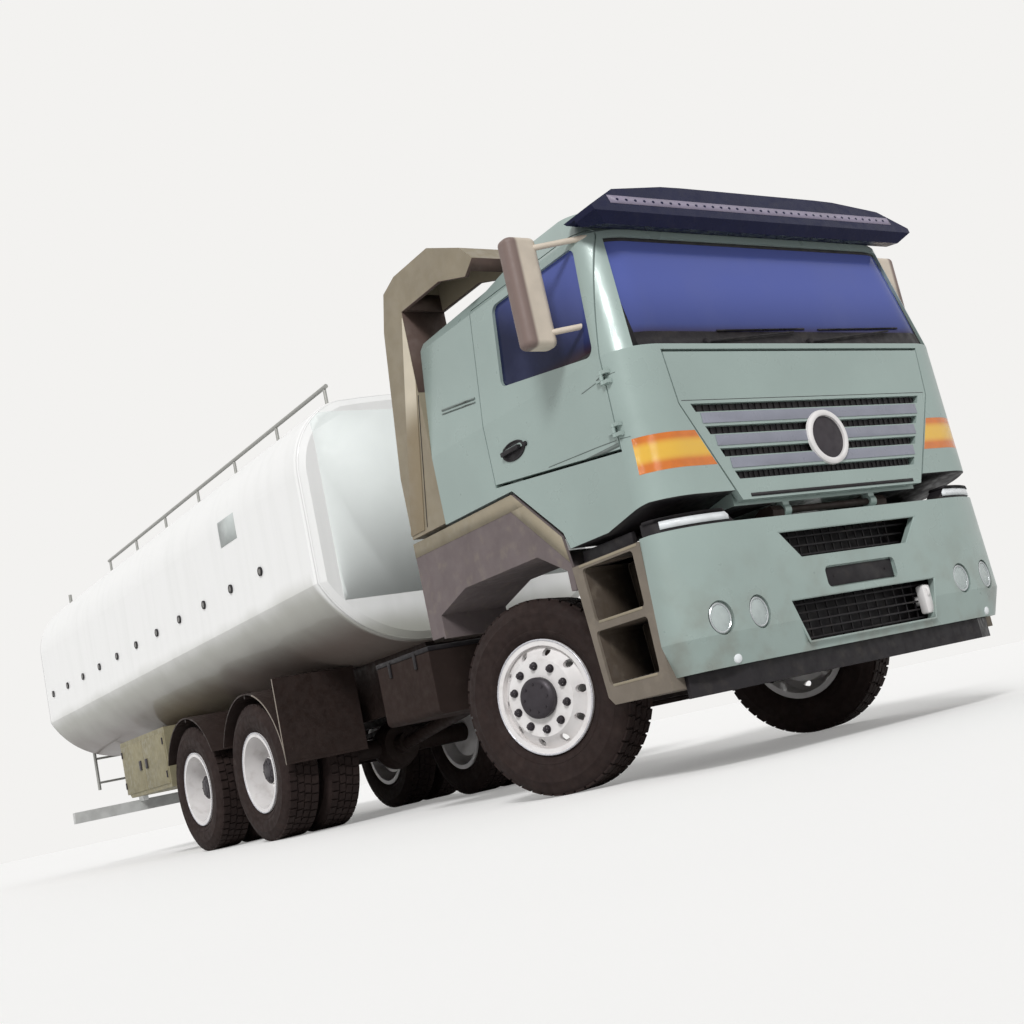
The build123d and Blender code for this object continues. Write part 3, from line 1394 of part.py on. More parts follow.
END_STEPS = ((70, 0), (22, 16), (0, 60))
with BuildPart() as tank_shell:
    with BuildSketch(Plane.YZ.offset(TANK_REAR + END_STEPS[0][0])):
        tank_outline(0)
    extrude(amount=TANK_FRONT - TANK_REAR - 2 * END_STEPS[0][0])
    for (back_1, in_1), (back_2, in_2) in zip(END_STEPS, END_STEPS[1:]):
        for x_1, x_2 in (
            (TANK_FRONT - back_1, TANK_FRONT - back_2),
            (TANK_REAR + back_1, TANK_REAR + back_2),
        ):
            with BuildSketch(Plane.YZ.offset(x_1)):
                tank_outline(in_1)
            with BuildSketch(Plane.YZ.offset(x_2)):
                tank_outline(in_2)
            loft(ruled=True)
    with BuildSketch(Plane.YZ.offset(TANK_REAR + END_STEPS[0][0])):
        tank_outline(TANK_WALL)
    extrude(amount=TANK_FRONT - TANK_REAR - 2 * END_STEPS[0][0], mode=Mode.SUBTRACT)
    for x_1, x_2 in (
        (TANK_FRONT - END_STEPS[0][0], TANK_FRONT - 20),
        (TANK_REAR + END_STEPS[0][0], TANK_REAR + 20),
    ):
        with BuildSketch(Plane.YZ.offset(x_1)):
            tank_outline(TANK_WALL)
        with BuildSketch(Plane.YZ.offset(x_2)):
            tank_outline(52)
        loft(ruled=True, mode=Mode.SUBTRACT)
keep(tank_shell, "tank_shell")

# Tank cradle: a long sill on each rail with cross bearers
with BuildPart() as tank_cradle:
    for _, s in SIDES:
        with BuildSketch(Plane.XY.offset(FRAME_TOP + SEAT_GAP)):
            with Locations(((TANK_FRONT + TANK_REAR) / 2, s * (SILL_OUTER - 35))):
                Rectangle(TANK_FRONT - TANK_REAR - 300, 70)
        extrude(amount=TANK_BOTTOM - FRAME_TOP - 2 * SEAT_GAP)
    for i in range(6):
        x_bearer = TANK_REAR + 400 + i * (TANK_FRONT - TANK_REAR - 800) / 5
        with BuildSketch(Plane.XY.offset(FRAME_TOP + 60)):
            with Locations((x_bearer, 0)):
                Rectangle(90, 2 * (SILL_OUTER - 70 - SEAT_GAP))
        extrude(amount=TANK_BOTTOM - FRAME_TOP - 60 - SEAT_GAP)
keep(tank_cradle, "tank_cradle")


# Top of the tank: manhole collars, hinged lids, a guard rail on posts and a rear ladder


MANHOLE_PITCH = (TANK_FRONT - TANK_REAR) / (MANHOLE_COUNT + 1)
MANHOLES = [TANK_FRONT - (i + 1) * MANHOLE_PITCH for i in range(MANHOLE_COUNT)]
COLLAR_TOP = TANK_TOP + 90
LID_THICKNESS = 36
LID_HINGE_X = MANHOLE_RADIUS + 45
LID_HINGE_Z = COLLAR_TOP + LID_THICKNESS / 2
LID_PIN_RADIUS = 8
with BuildPart() as manholes:
    for x_hole in MANHOLES:
        with BuildSketch(Plane.XY.offset(TANK_TOP + SEAT_GAP)):
            with Locations((x_hole, 0)):
                Circle(MANHOLE_RADIUS)
            with Locations((x_hole + LID_HINGE_X / 2 + 10, 0)):
                Rectangle(LID_HINGE_X + 20, 170)
        extrude(amount=COLLAR_TOP - TANK_TOP - SEAT_GAP - 12)
        with BuildSketch(Plane.XY.offset(COLLAR_TOP - 12)):
            with Locations((x_hole, 0)):
                Circle(MANHOLE_RADIUS - 10)
        extrude(amount=12)
        for _, s in SIDES:
            add(
                side_prism(
                    (
                        (x_hole + LID_HINGE_X - 22, COLLAR_TOP - 14),
                        (x_hole + LID_HINGE_X + 22, COLLAR_TOP - 14),
                        (x_hole + LID_HINGE_X + 14, LID_HINGE_Z + 16),
                        (x_hole + LID_HINGE_X - 14, LID_HINGE_Z + 16),
                    ),
                    s * 65,
                    s * 80,
                )
            )
        with BuildSketch(Plane(origin=(x_hole + LID_HINGE_X, 0, LID_HINGE_Z), z_dir=(0, 1, 0))):
            Circle(LID_PIN_RADIUS)
        extrude(amount=70, both=True)
keep(manholes, "manhole_collars")

for i, x_hole in enumerate(MANHOLES):
    with BuildPart() as lid:
        with BuildSketch(Plane.XY.offset(COLLAR_TOP + SEAT_GAP)):
            with Locations((x_hole, 0)):
                Circle(MANHOLE_RADIUS + 14)
            with Locations((x_hole + LID_HINGE_X / 2, 0)):
                Rectangle(LID_HINGE_X, 116)
        extrude(amount=LID_THICKNESS - SEAT_GAP)
        with BuildSketch(Plane(origin=(x_hole + LID_HINGE_X, 0, LID_HINGE_Z), z_dir=(0, 1, 0))):
            Circle(LID_THICKNESS / 2 - SEAT_GAP)
        extrude(amount=58, both=True)
        with BuildSketch(Plane(origin=(x_hole + LID_HINGE_X, 0, LID_HINGE_Z), z_dir=(0, 1, 0))):
            Circle(LID_PIN_RADIUS + RUNNING_CLEARANCE)
        extrude(amount=60, both=True, mode=Mode.SUBTRACT)
        with BuildSketch(Plane.XY.offset(COLLAR_TOP + LID_THICKNESS - 1)):
            with Locations((x_hole, 0)):
                Circle(150)
        extrude(amount=40, taper=30)
    keep(lid, f"manhole_lid_{i + 1}")

RAIL_TUBE = 17
RAIL_FRONT = TANK_FRONT - 900
RAIL_REAR = TANK_REAR + 380
RAIL_POSTS = 7
COAMING_WIDTH = 34
COAMING_HEIGHT = 110
CROWN_RADIUS = (TANK_SHOULDER_HALF**2 + CROWN_DROP**2) / (2 * CROWN_DROP)


def crown_height(y):
    """The height of the tank's top at this distance from its middle."""
    return TANK_TOP - CROWN_RADIUS + (CROWN_RADIUS**2 - y**2) ** 0.5


COAMING_LOW = crown_height(WALKWAY_HALF - COAMING_WIDTH / 2) + SEAT_GAP
COAMING_TOP = COAMING_LOW + COAMING_HEIGHT
with BuildPart() as guard_rail:
    for _, s in SIDES:
        with BuildSketch(Plane(origin=(RAIL_REAR, s * WALKWAY_HALF, WALKWAY_TOP - RAIL_TUBE), z_dir=(1, 0, 0))):
            Circle(RAIL_TUBE)
        extrude(amount=RAIL_FRONT - RAIL_REAR)
        for i in range(RAIL_POSTS):
            x_post = RAIL_REAR + 40 + i * (RAIL_FRONT - RAIL_REAR - 80) / (RAIL_POSTS - 1)
            with BuildSketch(Plane.XY.offset(COAMING_TOP + SEAT_GAP)):
                with Locations((x_post, s * WALKWAY_HALF)):
                    Circle(RAIL_TUBE - 3)
            extrude(amount=WALKWAY_TOP - 2 * RAIL_TUBE - COAMING_TOP - 2 * SEAT_GAP)
        with BuildSketch(Plane.XY.offset(COAMING_LOW)):
            with Locations(((RAIL_FRONT + RAIL_REAR) / 2, s * WALKWAY_HALF)):
                Rectangle(RAIL_FRONT - RAIL_REAR, COAMING_WIDTH)
        extrude(amount=COAMING_HEIGHT)
    for x_end in (RAIL_REAR + COAMING_WIDTH / 2, RAIL_FRONT - COAMING_WIDTH / 2):
        with BuildSketch(Plane.XY.offset(TANK_TOP + SEAT_GAP)):
            with Locations((x_end, 0)):
                Rectangle(COAMING_WIDTH, 2 * WALKWAY_HALF - COAMING_WIDTH - 2 * SEAT_GAP)
        extrude(amount=COAMING_TOP - TANK_TOP - SEAT_GAP)
keep(guard_rail, "guard_rail")

LADDER_Y = -560
LADDER_HALF = 200
LADDER_BOTTOM = 820
LADDER_RUNGS = 8
with BuildPart() as ladder:
    for y_side in (LADDER_Y - LADDER_HALF, LADDER_Y + LADDER_HALF):
        with BuildSketch(Plane.XY.offset(LADDER_BOTTOM)):
            with Locations((X_REAR + 18, y_side)):
                Circle(18)
        extrude(amount=TANK_TOP + 100 - LADDER_BOTTOM)
        for z_foot in (TANK_BOTTOM + 160, TANK_SHOULDER - 130):
            with BuildSketch(Plane(origin=(X_REAR + 18, y_side, z_foot), z_dir=(1, 0, 0))):
                Circle(14)
            extrude(amount=TANK_REAR - X_REAR - 18 - SEAT_GAP)
    for i in range(LADDER_RUNGS):
        rung_z = LADDER_BOTTOM + 80 + i * (TANK_TOP - LADDER_BOTTOM) / LADDER_RUNGS
        with BuildSketch(Plane(origin=(X_REAR + 18, LADDER_Y, rung_z), z_dir=(0, 1, 0))):
            Circle(13)
        extrude(amount=LADDER_HALF, both=True)
keep(ladder, "ladder")


# Rear end: cabinet, underrun bar and lamps


CABINET_FRONT = X_DRIVE_2 - 650
CABINET_REAR = X_DRIVE_2 - 1950
with BuildPart() as rear_cabinet:
    with BuildSketch(Plane(origin=(0, -1180, 0), x_dir=(1, 0, 0), z_dir=(0, -1, 0))):
        with BuildLine():
            Polyline(
                (CABINET_REAR, 1135),
                (CABINET_FRONT, 1135),
                (CABINET_FRONT, 600),
                (CABINET_REAR + 120, 600),
                (CABINET_REAR, 700),
                close=True,
            )
        make_face()
    extrude(amount=-(1180 - RAIL_OUTER_Y - SEAT_GAP))
keep(rear_cabinet, "rear_cabinet")

with BuildPart() as underrun:
    with BuildSketch(Plane.XY.offset(500)):
        with Locations((X_REAR + 260, 0)):
            Rectangle(80, 2300)
    extrude(amount=120)
    for _, s in SIDES:
        with BuildSketch(Plane.XY.offset(600)):
            with Locations((X_REAR + 330, s * 385)):
                Rectangle(150, 60)
        extrude(amount=RAIL_BOTTOM + 120 - 600)
        with BuildSketch(Plane.XY.offset(RAIL_BOTTOM - 60)):
            with Locations((FRAME_REAR - 10 - SEAT_GAP, s * 385)):
                Rectangle(20, 80)
        extrude(amount=200)
keep(underrun, "underrun_bar")

with BuildPart() as tail_lamps:
    for _, s in SIDES:
        with BuildSketch(Plane.XY.offset(520)):
            with Locations((X_REAR + 260 - 40 - 22, s * 900)):
                Rectangle(44 - 2 * SEAT_GAP, 420)
        extrude(amount=95)
keep(tail_lamps, "tail_lamps")

# Side marker lamps in a row along each flank of the tank
MARKER_COUNT = 11
MARKER_Z = TANK_SIDE_LOW + 285
MARKER_RADIUS = 34
MARKER_FRONT = TANK_FRONT - 900
MARKER_REAR = TANK_REAR + 350
with BuildPart() as side_markers:
    for _, s in SIDES:
        for i in range(MARKER_COUNT):
            x_marker = MARKER_FRONT - i * (MARKER_FRONT - MARKER_REAR) / (MARKER_COUNT - 1)
            with BuildSketch(
                Plane(origin=(x_marker, s * (TANK_HALF_WIDTH + SEAT_GAP), MARKER_Z), z_dir=(0, s, 0))
            ):
                Circle(MARKER_RADIUS)
            extrude(amount=12)
keep(side_markers, "side_markers")

# Fuel tank on the left and battery box on the right, hung on the rails between the axles
SADDLE_FRONT = X_STEER - 1150
with BuildPart() as fuel_tank:
    with BuildSketch(Plane.YZ.offset(SADDLE_FRONT - 1000)):
        with Locations((790, 760)):
            RectangleRounded(620, 600, 130)
    extrude(amount=1000)
    with BuildSketch(Plane.YZ.offset(SADDLE_FRONT - 800)):
        with Locations(((RAIL_OUTER_Y + 500) / 2 + SEAT_GAP / 2, 860)):
            Rectangle(75 - SEAT_GAP, 120)
    extrude(amount=600)
keep(fuel_tank, "fuel_tank")

with BuildPart() as battery_box:
    with BuildSketch(Plane.YZ.offset(SADDLE_FRONT - 760)):
        with Locations((-(RAIL_OUTER_Y + SEAT_GAP + 285), 800)):
            RectangleRounded(570, 420, 40)
    extrude(amount=700)
keep(battery_box, "battery_box")
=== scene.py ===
"""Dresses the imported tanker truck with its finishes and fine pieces, and sets up its studio."""
import json
import math

import bmesh
import bpy
from mathutils import Matrix, Vector
from mathutils.bvhtree import BVHTree


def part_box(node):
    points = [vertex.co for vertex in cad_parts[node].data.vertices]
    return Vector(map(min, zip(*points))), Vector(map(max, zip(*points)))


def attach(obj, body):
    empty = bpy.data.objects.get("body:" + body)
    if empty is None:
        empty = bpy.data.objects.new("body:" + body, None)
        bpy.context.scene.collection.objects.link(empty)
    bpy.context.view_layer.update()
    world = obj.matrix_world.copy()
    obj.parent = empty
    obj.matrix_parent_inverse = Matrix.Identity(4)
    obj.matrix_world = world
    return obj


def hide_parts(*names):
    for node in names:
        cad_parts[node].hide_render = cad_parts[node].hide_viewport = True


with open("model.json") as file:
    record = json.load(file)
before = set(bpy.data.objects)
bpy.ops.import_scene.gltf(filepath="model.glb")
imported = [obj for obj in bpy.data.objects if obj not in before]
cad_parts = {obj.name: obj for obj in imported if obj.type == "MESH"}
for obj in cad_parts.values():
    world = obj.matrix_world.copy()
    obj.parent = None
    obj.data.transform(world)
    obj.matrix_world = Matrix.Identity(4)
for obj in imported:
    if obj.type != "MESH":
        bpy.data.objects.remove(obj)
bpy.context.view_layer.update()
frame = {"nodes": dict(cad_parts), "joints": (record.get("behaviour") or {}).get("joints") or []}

bl_info = {
    "name": "Tanker truck dressing",
    "version": (1, 0, 0),
    "blender": (4, 5, 0),
    "location": "View3D > Sidebar > Truck",
    "description": "Finishes, wheels, lamps, grille, tank fittings and studio for a tanker truck",
    "category": "Object",
}

# Places read from the frame, in metres
JOINTS = {joint["name"]: joint for joint in frame["joints"]}
STEER_X = JOINTS["steer_right"]["pos_m"][0]
AXLE_HEIGHT = JOINTS["steer_right"]["pos_m"][2]
UP = Vector((0, 0, 1))
FORWARD = Vector((1, 0, 0))
LEFT = Vector((0, 1, 0))
SIDES = (("right", -1), ("left", 1))
REAR_WHEELS = [f"rear_wheels_{number}_{side}" for number in (1, 2) for side, _ in SIDES]
FRONT_WHEELS = [f"front_wheel_{side}" for side, _ in SIDES]
TANK_LOW, TANK_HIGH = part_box("tank_shell")
FLAP_LOW, FLAP_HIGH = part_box("front_flap")
BUMPER_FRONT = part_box("front_bumper")[1].x
STEP_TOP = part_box("step_wells")[1].z
SEAT_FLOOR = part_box("seats")[0].z


def srgb(red, green, blue):
    """A colour as read from a picture, turned to the linear values that a shader takes."""
    return tuple(
        v / 12.92 if v <= 0.04045 else ((v + 0.055) / 1.055) ** 2.4
        for v in (red / 255, green / 255, blue / 255)
    )


def shaded(colour, share):
    """A colour made darker or lighter."""
    return tuple(min(1, v * share) for v in colour)


def colour_setting(name, description, default):
    """A colour that the user can change."""
    return bpy.props.FloatVectorProperty(
        name=name, description=description, subtype="COLOR", size=3, min=0, max=1, default=default
    )


def length_setting(name, description, default):
    """A length that the user can change, in metres."""
    return bpy.props.FloatProperty(
        name=name, description=description, unit="LENGTH", min=0, precision=4, default=default
    )


class TruckColours(bpy.types.PropertyGroup):
    """Colours of the truck's main finishes"""

    cab: colour_setting("Cab", "Body colour of cab and bumper", srgb(156, 172, 167))
    visor: colour_setting("Visor", "Tinted plastic of the sun visor", srgb(26, 29, 58))
    visor_band: colour_setting("Visor band", "Pale strip along the visor", srgb(140, 132, 152))
    duct: colour_setting("Ducts", "Plastic of the air ducts", srgb(142, 132, 113))
    guard: colour_setting("Front guards", "Plastic of the front mudguards", srgb(152, 142, 122))
    step: colour_setting("Steps", "Plastic of steps and rear guards", srgb(122, 113, 102))
    chassis: colour_setting("Chassis", "Paint of the frame", srgb(46, 36, 33))
    rubber: colour_setting("Tyres", "Rubber of the tyres", srgb(44, 34, 32))
    rim: colour_setting("Rims", "Enamel of the wheel rims", srgb(232, 229, 228))
    tank: colour_setting("Tank", "Coating of the tank", srgb(249, 249, 248))
    # The belly colour is painted shade under the tank, mixed with road dirt
    shade_and_grime: colour_setting("Belly grime", "Road film under the tank", srgb(112, 100, 94))
    amber: colour_setting("Amber lenses", "Lenses of the indicators", srgb(216, 116, 30))
    glass: colour_setting("Glass", "Tinted glass", srgb(90, 102, 170))
    cabinet: colour_setting("Rear cabinet", "Paint of the rear cabinet", srgb(142, 135, 110))


class TruckSizes(bpy.types.PropertyGroup):
    """Sizes of the added pieces"""

    tread_depth: length_setting("Tread depth", "Depth of the tread's grooves", 0.012)
    tread_pitches: bpy.props.IntProperty(
        name="Tread pitches", description="Blocks round one tyre", min=12, max=96, default=46
    )
    nut_across: length_setting("Wheel nut", "Radius of a wheel nut's cap", 0.0175)


def colours():
    """The scene's colour settings."""
    return bpy.context.scene.truck_colours


def sizes():
    """The scene's size settings."""
    return bpy.context.scene.truck_sizes


# Finishes

# Sockets of the mix node that carry colours
MIX_COLOUR_A, MIX_COLOUR_B, MIX_COLOUR_RESULT = 6, 7, 2
# Where a finish changes: the places where the change begins and ends, in metres
ROAD_FILM = (1.15, 0.42)
# Under the tank's belly: a grey band of painted shade, then painted shade with road dirt
TANK_SHADE = (1.74, 1.52)
TANK_SHADE_AND_GRIME = (1.56, 1.24)
TANK_FRONT = (TANK_HIGH.x - 0.12, TANK_HIGH.x - 0.02)
# Heights over which the duct's rib darkens into painted shade
DUCT_SHADE_HEIGHTS = (2.18, 2.42)
# Where the painted shade on the mirror head's outer half begins
MIRROR_SHADE_SPLIT = (1.38, 1.405)
# Heights of the painted shade low on the glass, and the reach where painted shade turns to painted
# reflection
GLASS_SILL_SHADE = (2.13, 2.04)
GLASS_SHADE_TO_REFLECTION = (5.03, 5.56)
INDICATOR_MIDDLE = (1.40, 1.565)


class Finish:
    """One procedural material, with its pattern on object coordinates."""

    def __init__(self, name, colour, roughness, metallic=0.0, coat=0.0):
        self.material = bpy.data.materials.new(name)
        self.material.use_nodes = True
        self.material.diffuse_color = (*colour, 1)
        self.tree = self.material.node_tree
        self.shader = self.tree.nodes["Principled BSDF"]
        self.place = self.tree.nodes.new("ShaderNodeTexCoord").outputs["Object"]
        self.shader.inputs["Base Color"].default_value = (*colour, 1)
        self.shader.inputs["Roughness"].default_value = roughness
        self.shader.inputs["Metallic"].default_value = metallic
        self.shader.inputs["Coat Weight"].default_value = coat
        self.shader.inputs["Coat Roughness"].default_value = 0.06

    def join(self, node, source, socket):
        """Set a node's input to a constant or link it to another node's output."""
        if isinstance(source, bpy.types.NodeSocket):
            self.tree.links.new(source, node.inputs[socket])
        else:
            node.inputs[socket].default_value = source

    def stretched(self, scale):
        """Object coordinates, scaled along each axis."""
        node = self.tree.nodes.new("ShaderNodeMapping")
        self.join(node, self.place, "Vector")
        node.inputs["Scale"].default_value = scale
        return node.outputs["Vector"]

    def noise(self, scale, detail=4.0, vector=None):
        """A cloudy pattern from 0 to 1."""
        node = self.tree.nodes.new("ShaderNodeTexNoise")
        self.join(node, vector or self.place, "Vector")
        node.inputs["Scale"].default_value = scale
        node.inputs["Detail"].default_value = detail
        return node.outputs["Fac"]

    def cells(self, scale):
        """The distance to the nearest point of a cell pattern."""
        node = self.tree.nodes.new("ShaderNodeTexVoronoi")
        self.join(node, self.place, "Vector")
        node.inputs["Scale"].default_value = scale
        return node.outputs["Distance"]

    def waves(self, scale, direction):
        """Parallel bands across one axis."""
        node = self.tree.nodes.new("ShaderNodeTexWave")
        node.bands_direction = direction
        self.join(node, self.place, "Vector")
        node.inputs["Scale"].default_value = scale
        return node.outputs["Fac"]

    def along(self, axis):
        """One coordinate in metres."""
        node = self.tree.nodes.new("ShaderNodeSeparateXYZ")
        self.join(node, self.place, "Vector")
        return node.outputs[axis]

    def sum(self, first, second, operation="ADD"):
        """Two values put together."""
        node = self.tree.nodes.new("ShaderNodeMath")
        node.operation = operation
        self.join(node, first, 0)
        self.join(node, second, 1)
        return node.outputs[0]

    def between(self, value, low, high, out_low=0.0, out_high=1.0):
        """A value spread from one range to another, clamped."""
        node = self.tree.nodes.new("ShaderNodeMapRange")
        node.interpolation_type = "SMOOTHSTEP"
        self.join(node, value, "Value")
        node.inputs["From Min"].default_value = low
        node.inputs["From Max"].default_value = high
        node.inputs["To Min"].default_value = out_low
        node.inputs["To Max"].default_value = out_high
        return node.outputs["Result"]

    def blend(self, share, first, second):
        """Two colours mixed by a share from 0 to 1."""
        node = self.tree.nodes.new("ShaderNodeMix")
        node.data_type = "RGBA"
        self.join(node, share, 0)
        for source, socket in ((first, MIX_COLOUR_A), (second, MIX_COLOUR_B)):
            plain = not isinstance(source, bpy.types.NodeSocket)
            self.join(node, (*source, 1) if plain else source, socket)
        # A dark plate of painted shade in the gap between the cab and the steps
        return node.outputs[MIX_COLOUR_RESULT]

    def mottled(self, colour, spread, scale):
        """A colour that is lighter and darker in soft patches."""
        patches = self.between(self.noise(scale), 0.3, 0.7)
        return self.blend(patches, shaded(colour, 1 - spread), shaded(colour, 1 + spread))

    def paint(self, source):
        """Drive the base colour."""
        self.join(self.shader, source, "Base Color")

    def uneven(self, low, high, scale):
        """Let the roughness wander between two values."""
        self.join(self.shader, self.between(self.noise(scale), 0.3, 0.7, low, high), "Roughness")

    def raised(self, height, strength, distance):
        """Drive the surface relief."""
        node = self.tree.nodes.new("ShaderNodeBump")
        self.join(node, height, "Height")
        node.inputs["Strength"].default_value = strength
        node.inputs["Distance"].default_value = distance
        self.join(self.shader, node.outputs["Normal"], "Normal")


def body_paint(name, colour):
    """Two-layer body paint: fine flakes, faint orange peel and road film low down."""
    finish = Finish(name, colour, 0.34, metallic=0.1, coat=0.12)
    finish.shader.inputs["Specular IOR Level"].default_value = 0.4
    flakes = finish.blend(
        finish.between(finish.noise(900, 1), 0.45, 0.75), colour, shaded(colour, 1.12)
    )
    panel = finish.blend(
        finish.between(finish.noise(1.3), 0.35, 0.65), flakes, shaded(colour, 0.94)
    )
    film = finish.sum(
        finish.between(finish.along("Z"), *ROAD_FILM),
        finish.between(finish.noise(7), 0.4, 0.75, 0.05, 0.45),
        "MULTIPLY",
    )
    finish.paint(finish.blend(film, panel, srgb(120, 112, 100)))
    finish.uneven(0.26, 0.4, 5)
    finish.raised(finish.noise(420, 2), 0.04, 0.0006)


def tank_coating(name, white, shade_and_grime):
    """White tank coating with rain streaks, darker under the belly: a grey band of painted shade,
    then painted shade mixed with road dirt.
    """
    finish = Finish(name, white, 0.36, coat=0.35)
    streaks = finish.noise(1.0, 5, finish.stretched((9, 9, 0.7)))
    shade = finish.blend(finish.between(streaks, 0.42, 0.75, 0, 0.14), white, srgb(214, 216, 212))
    # The front end stays white further down: the painted belly shade and road dirt begin lower
    # there
    front = finish.between(finish.along("X"), *TANK_FRONT, 0, 0.3)
    height = finish.sum(finish.along("Z"), finish.between(finish.noise(2.2), 0.2, 0.8, -0.03, 0.03))
    height = finish.sum(height, front)
    # A grey band of painted shade under the belly, then painted shade with road dirt below it
    lower = finish.blend(finish.between(height, *TANK_SHADE), shade, srgb(186, 186, 178))
    finish.paint(finish.blend(finish.between(height, *TANK_SHADE_AND_GRIME, 0, 0.95), lower, shade_and_grime))
    finish.uneven(0.36, 0.44, 3)
    finish.raised(finish.noise(300, 2), 0.03, 0.0005)


def moulded(name, colour, grain, relief, roughness, dirt=0.3, gloss=0.35, spread=0.06):
    """Grained moulded plastic with dust in its hollows."""
    finish = Finish(name, colour, roughness)
    finish.shader.inputs["Specular IOR Level"].default_value = gloss
    base = finish.mottled(colour, spread, 6)
    dust = finish.between(finish.noise(14, 6), 0.5, 0.8, 0, dirt)
    finish.paint(finish.blend(dust, base, srgb(150, 140, 124)))
    finish.uneven(roughness - 0.1, roughness + 0.15, 18)
    finish.raised(finish.cells(grain), relief, 0.0008)


def duct_rib(name, pale, shaded_brown):
    """The duct's rib: pale at its top, browner from the cab's waist down, where the darker colour
    is painted shade.
    """
    finish = Finish(name, pale, 0.5)
    shade_share = finish.between(finish.along("Z"), *DUCT_SHADE_HEIGHTS)
    finish.paint(finish.blend(shade_share, shaded_brown, finish.mottled(pale, 0.05, 8)))
    finish.uneven(0.42, 0.58, 16)
    finish.raised(finish.cells(500), 0.12, 0.0008)


def mirror_housing(name, pale, shaded_brown):
    """Grained mirror plastic, pale on the inner half of the head and a dark mauve tone on the outer
    half, where the dark tone is painted shade.
    """
    finish = Finish(name, pale, 0.5)
    from_middle = finish.sum(finish.along("Y"), 0, "ABSOLUTE")
    inner = finish.between(from_middle, *MIRROR_SHADE_SPLIT, 1.0, 0.0)
    finish.paint(finish.blend(inner, shaded_brown, finish.mottled(pale, 0.06, 9)))
    finish.uneven(0.4, 0.6, 18)
    finish.raised(finish.cells(420), 0.2, 0.0008)


def coated_steel(name, colour, roughness=0.5, metallic=0.05, rust=0.12):
    """Painted or cast steel with a rough skin and a little rust."""
    finish = Finish(name, colour, roughness, metallic=metallic)
    finish.shader.inputs["Specular IOR Level"].default_value = 0.25
    base = finish.mottled(colour, 0.1, 9)
    spots = finish.between(finish.noise(28, 8), 0.62, 0.78, 0, rust)
    finish.paint(finish.blend(spots, base, srgb(84, 56, 42)))
    finish.uneven(roughness - 0.12, roughness + 0.2, 22)
    finish.raised(finish.noise(160, 6), 0.12, 0.001)


def brushed_metal(name, colour, roughness, metallic):
    """Bare aluminium or steel with fine lengthwise brushing."""
    finish = Finish(name, colour, roughness, metallic=metallic)
    lines = finish.noise(60, 3, finish.stretched((0.25, 14, 14)))
    share = finish.between(lines, 0.3, 0.7)
    finish.paint(finish.blend(share, shaded(colour, 0.86), shaded(colour, 1.08)))
    finish.uneven(roughness - 0.08, roughness + 0.12, 40)
    finish.raised(lines, 0.02, 0.0003)


def rim_enamel(name, colour):
    """Pale enamel with brake dust gathered in soft patches."""
    finish = Finish(name, colour, 0.35, metallic=0.05, coat=0.3)
    dust = finish.between(finish.noise(11, 6), 0.5, 0.85, 0, 0.35)
    finish.paint(finish.blend(dust, finish.mottled(colour, 0.04, 5), srgb(150, 138, 128)))
    finish.uneven(0.28, 0.5, 12)
    finish.raised(finish.noise(240, 3), 0.06, 0.0006)


def rubber(name, colour):
    """Tyre rubber, dusty and slightly brown, with a fine skin."""
    finish = Finish(name, colour, 0.8)
    finish.shader.inputs["Specular IOR Level"].default_value = 0.2
    dust = finish.between(finish.noise(9, 6), 0.45, 0.8, 0, 0.45)
    finish.paint(finish.blend(dust, finish.mottled(colour, 0.12, 30), srgb(64, 52, 48)))
    finish.uneven(0.7, 0.92, 25)
    finish.raised(finish.noise(320, 6), 0.35, 0.001)


def tinted_glass(name, colour):
    """Laminated tinted glass, painted near black as shade at the back and low down, and painted
    lighter up front as reflection.
    """
    finish = Finish(name, colour, 0.05)
    finish.shader.inputs["Specular IOR Level"].default_value = 0.08
    # Painted shade at the back, turning to painted reflection up front
    forward = finish.sum(finish.along("X"), 0.6, "MULTIPLY")
    clear = finish.between(finish.sum(forward, finish.along("Z")), *GLASS_SHADE_TO_REFLECTION)
    tone = finish.blend(clear, shaded(colour, 0.12), colour)
    # A band of painted shade low on the glass
    sill = finish.between(finish.along("Z"), *GLASS_SILL_SHADE)
    tone = finish.blend(sill, tone, srgb(56, 42, 46))
    # Soft pale patches of painted reflection
    reflection_patches = finish.between(finish.noise(3), 0.4, 0.7, 0, 0.1)
    finish.paint(finish.blend(reflection_patches, tone, srgb(110, 116, 158)))
    finish.shader.inputs["Alpha"].default_value = 0.96
    finish.uneven(0.03, 0.08, 6)


def lens(name, colour, ribs, direction, inner=None, low=0.0, high=1.0):
    """A fluted lamp lens, with another colour through the middle between two heights."""
    finish = Finish(name, colour, 0.12, coat=0.3)
    tone = finish.mottled(colour, 0.06, 20)
    if inner:
        reach = (high - low) / 2
        offset = finish.sum(finish.along("Z"), (low + high) / 2, "SUBTRACT")
        away = finish.sum(offset, offset, "MULTIPLY")
        share = finish.between(away, (0.75 * reach) ** 2, (0.2 * reach) ** 2)
        tone = finish.blend(share, tone, inner)
    finish.paint(tone)
    finish.raised(finish.waves(ribs, direction), 0.35, 0.0015)


def fabric(name, colour):
    """Woven seat cloth with warp and weft."""
    finish = Finish(name, colour, 0.9)
    weave = finish.sum(finish.waves(180, "Y"), finish.waves(180, "Z"), "MULTIPLY")
    finish.paint(finish.blend(weave, shaded(colour, 0.6), finish.mottled(colour, 0.15, 12)))
    finish.shader.inputs["Sheen Weight"].default_value = 0.3
    finish.raised(weave, 0.5, 0.001)


def mirror_glass(name, colour):
    """A mirror's face."""
    finish = Finish(name, colour, 0.04, metallic=1.0)
    finish.uneven(0.02, 0.08, 8)
    finish.paint(finish.mottled(colour, 0.04, 3))


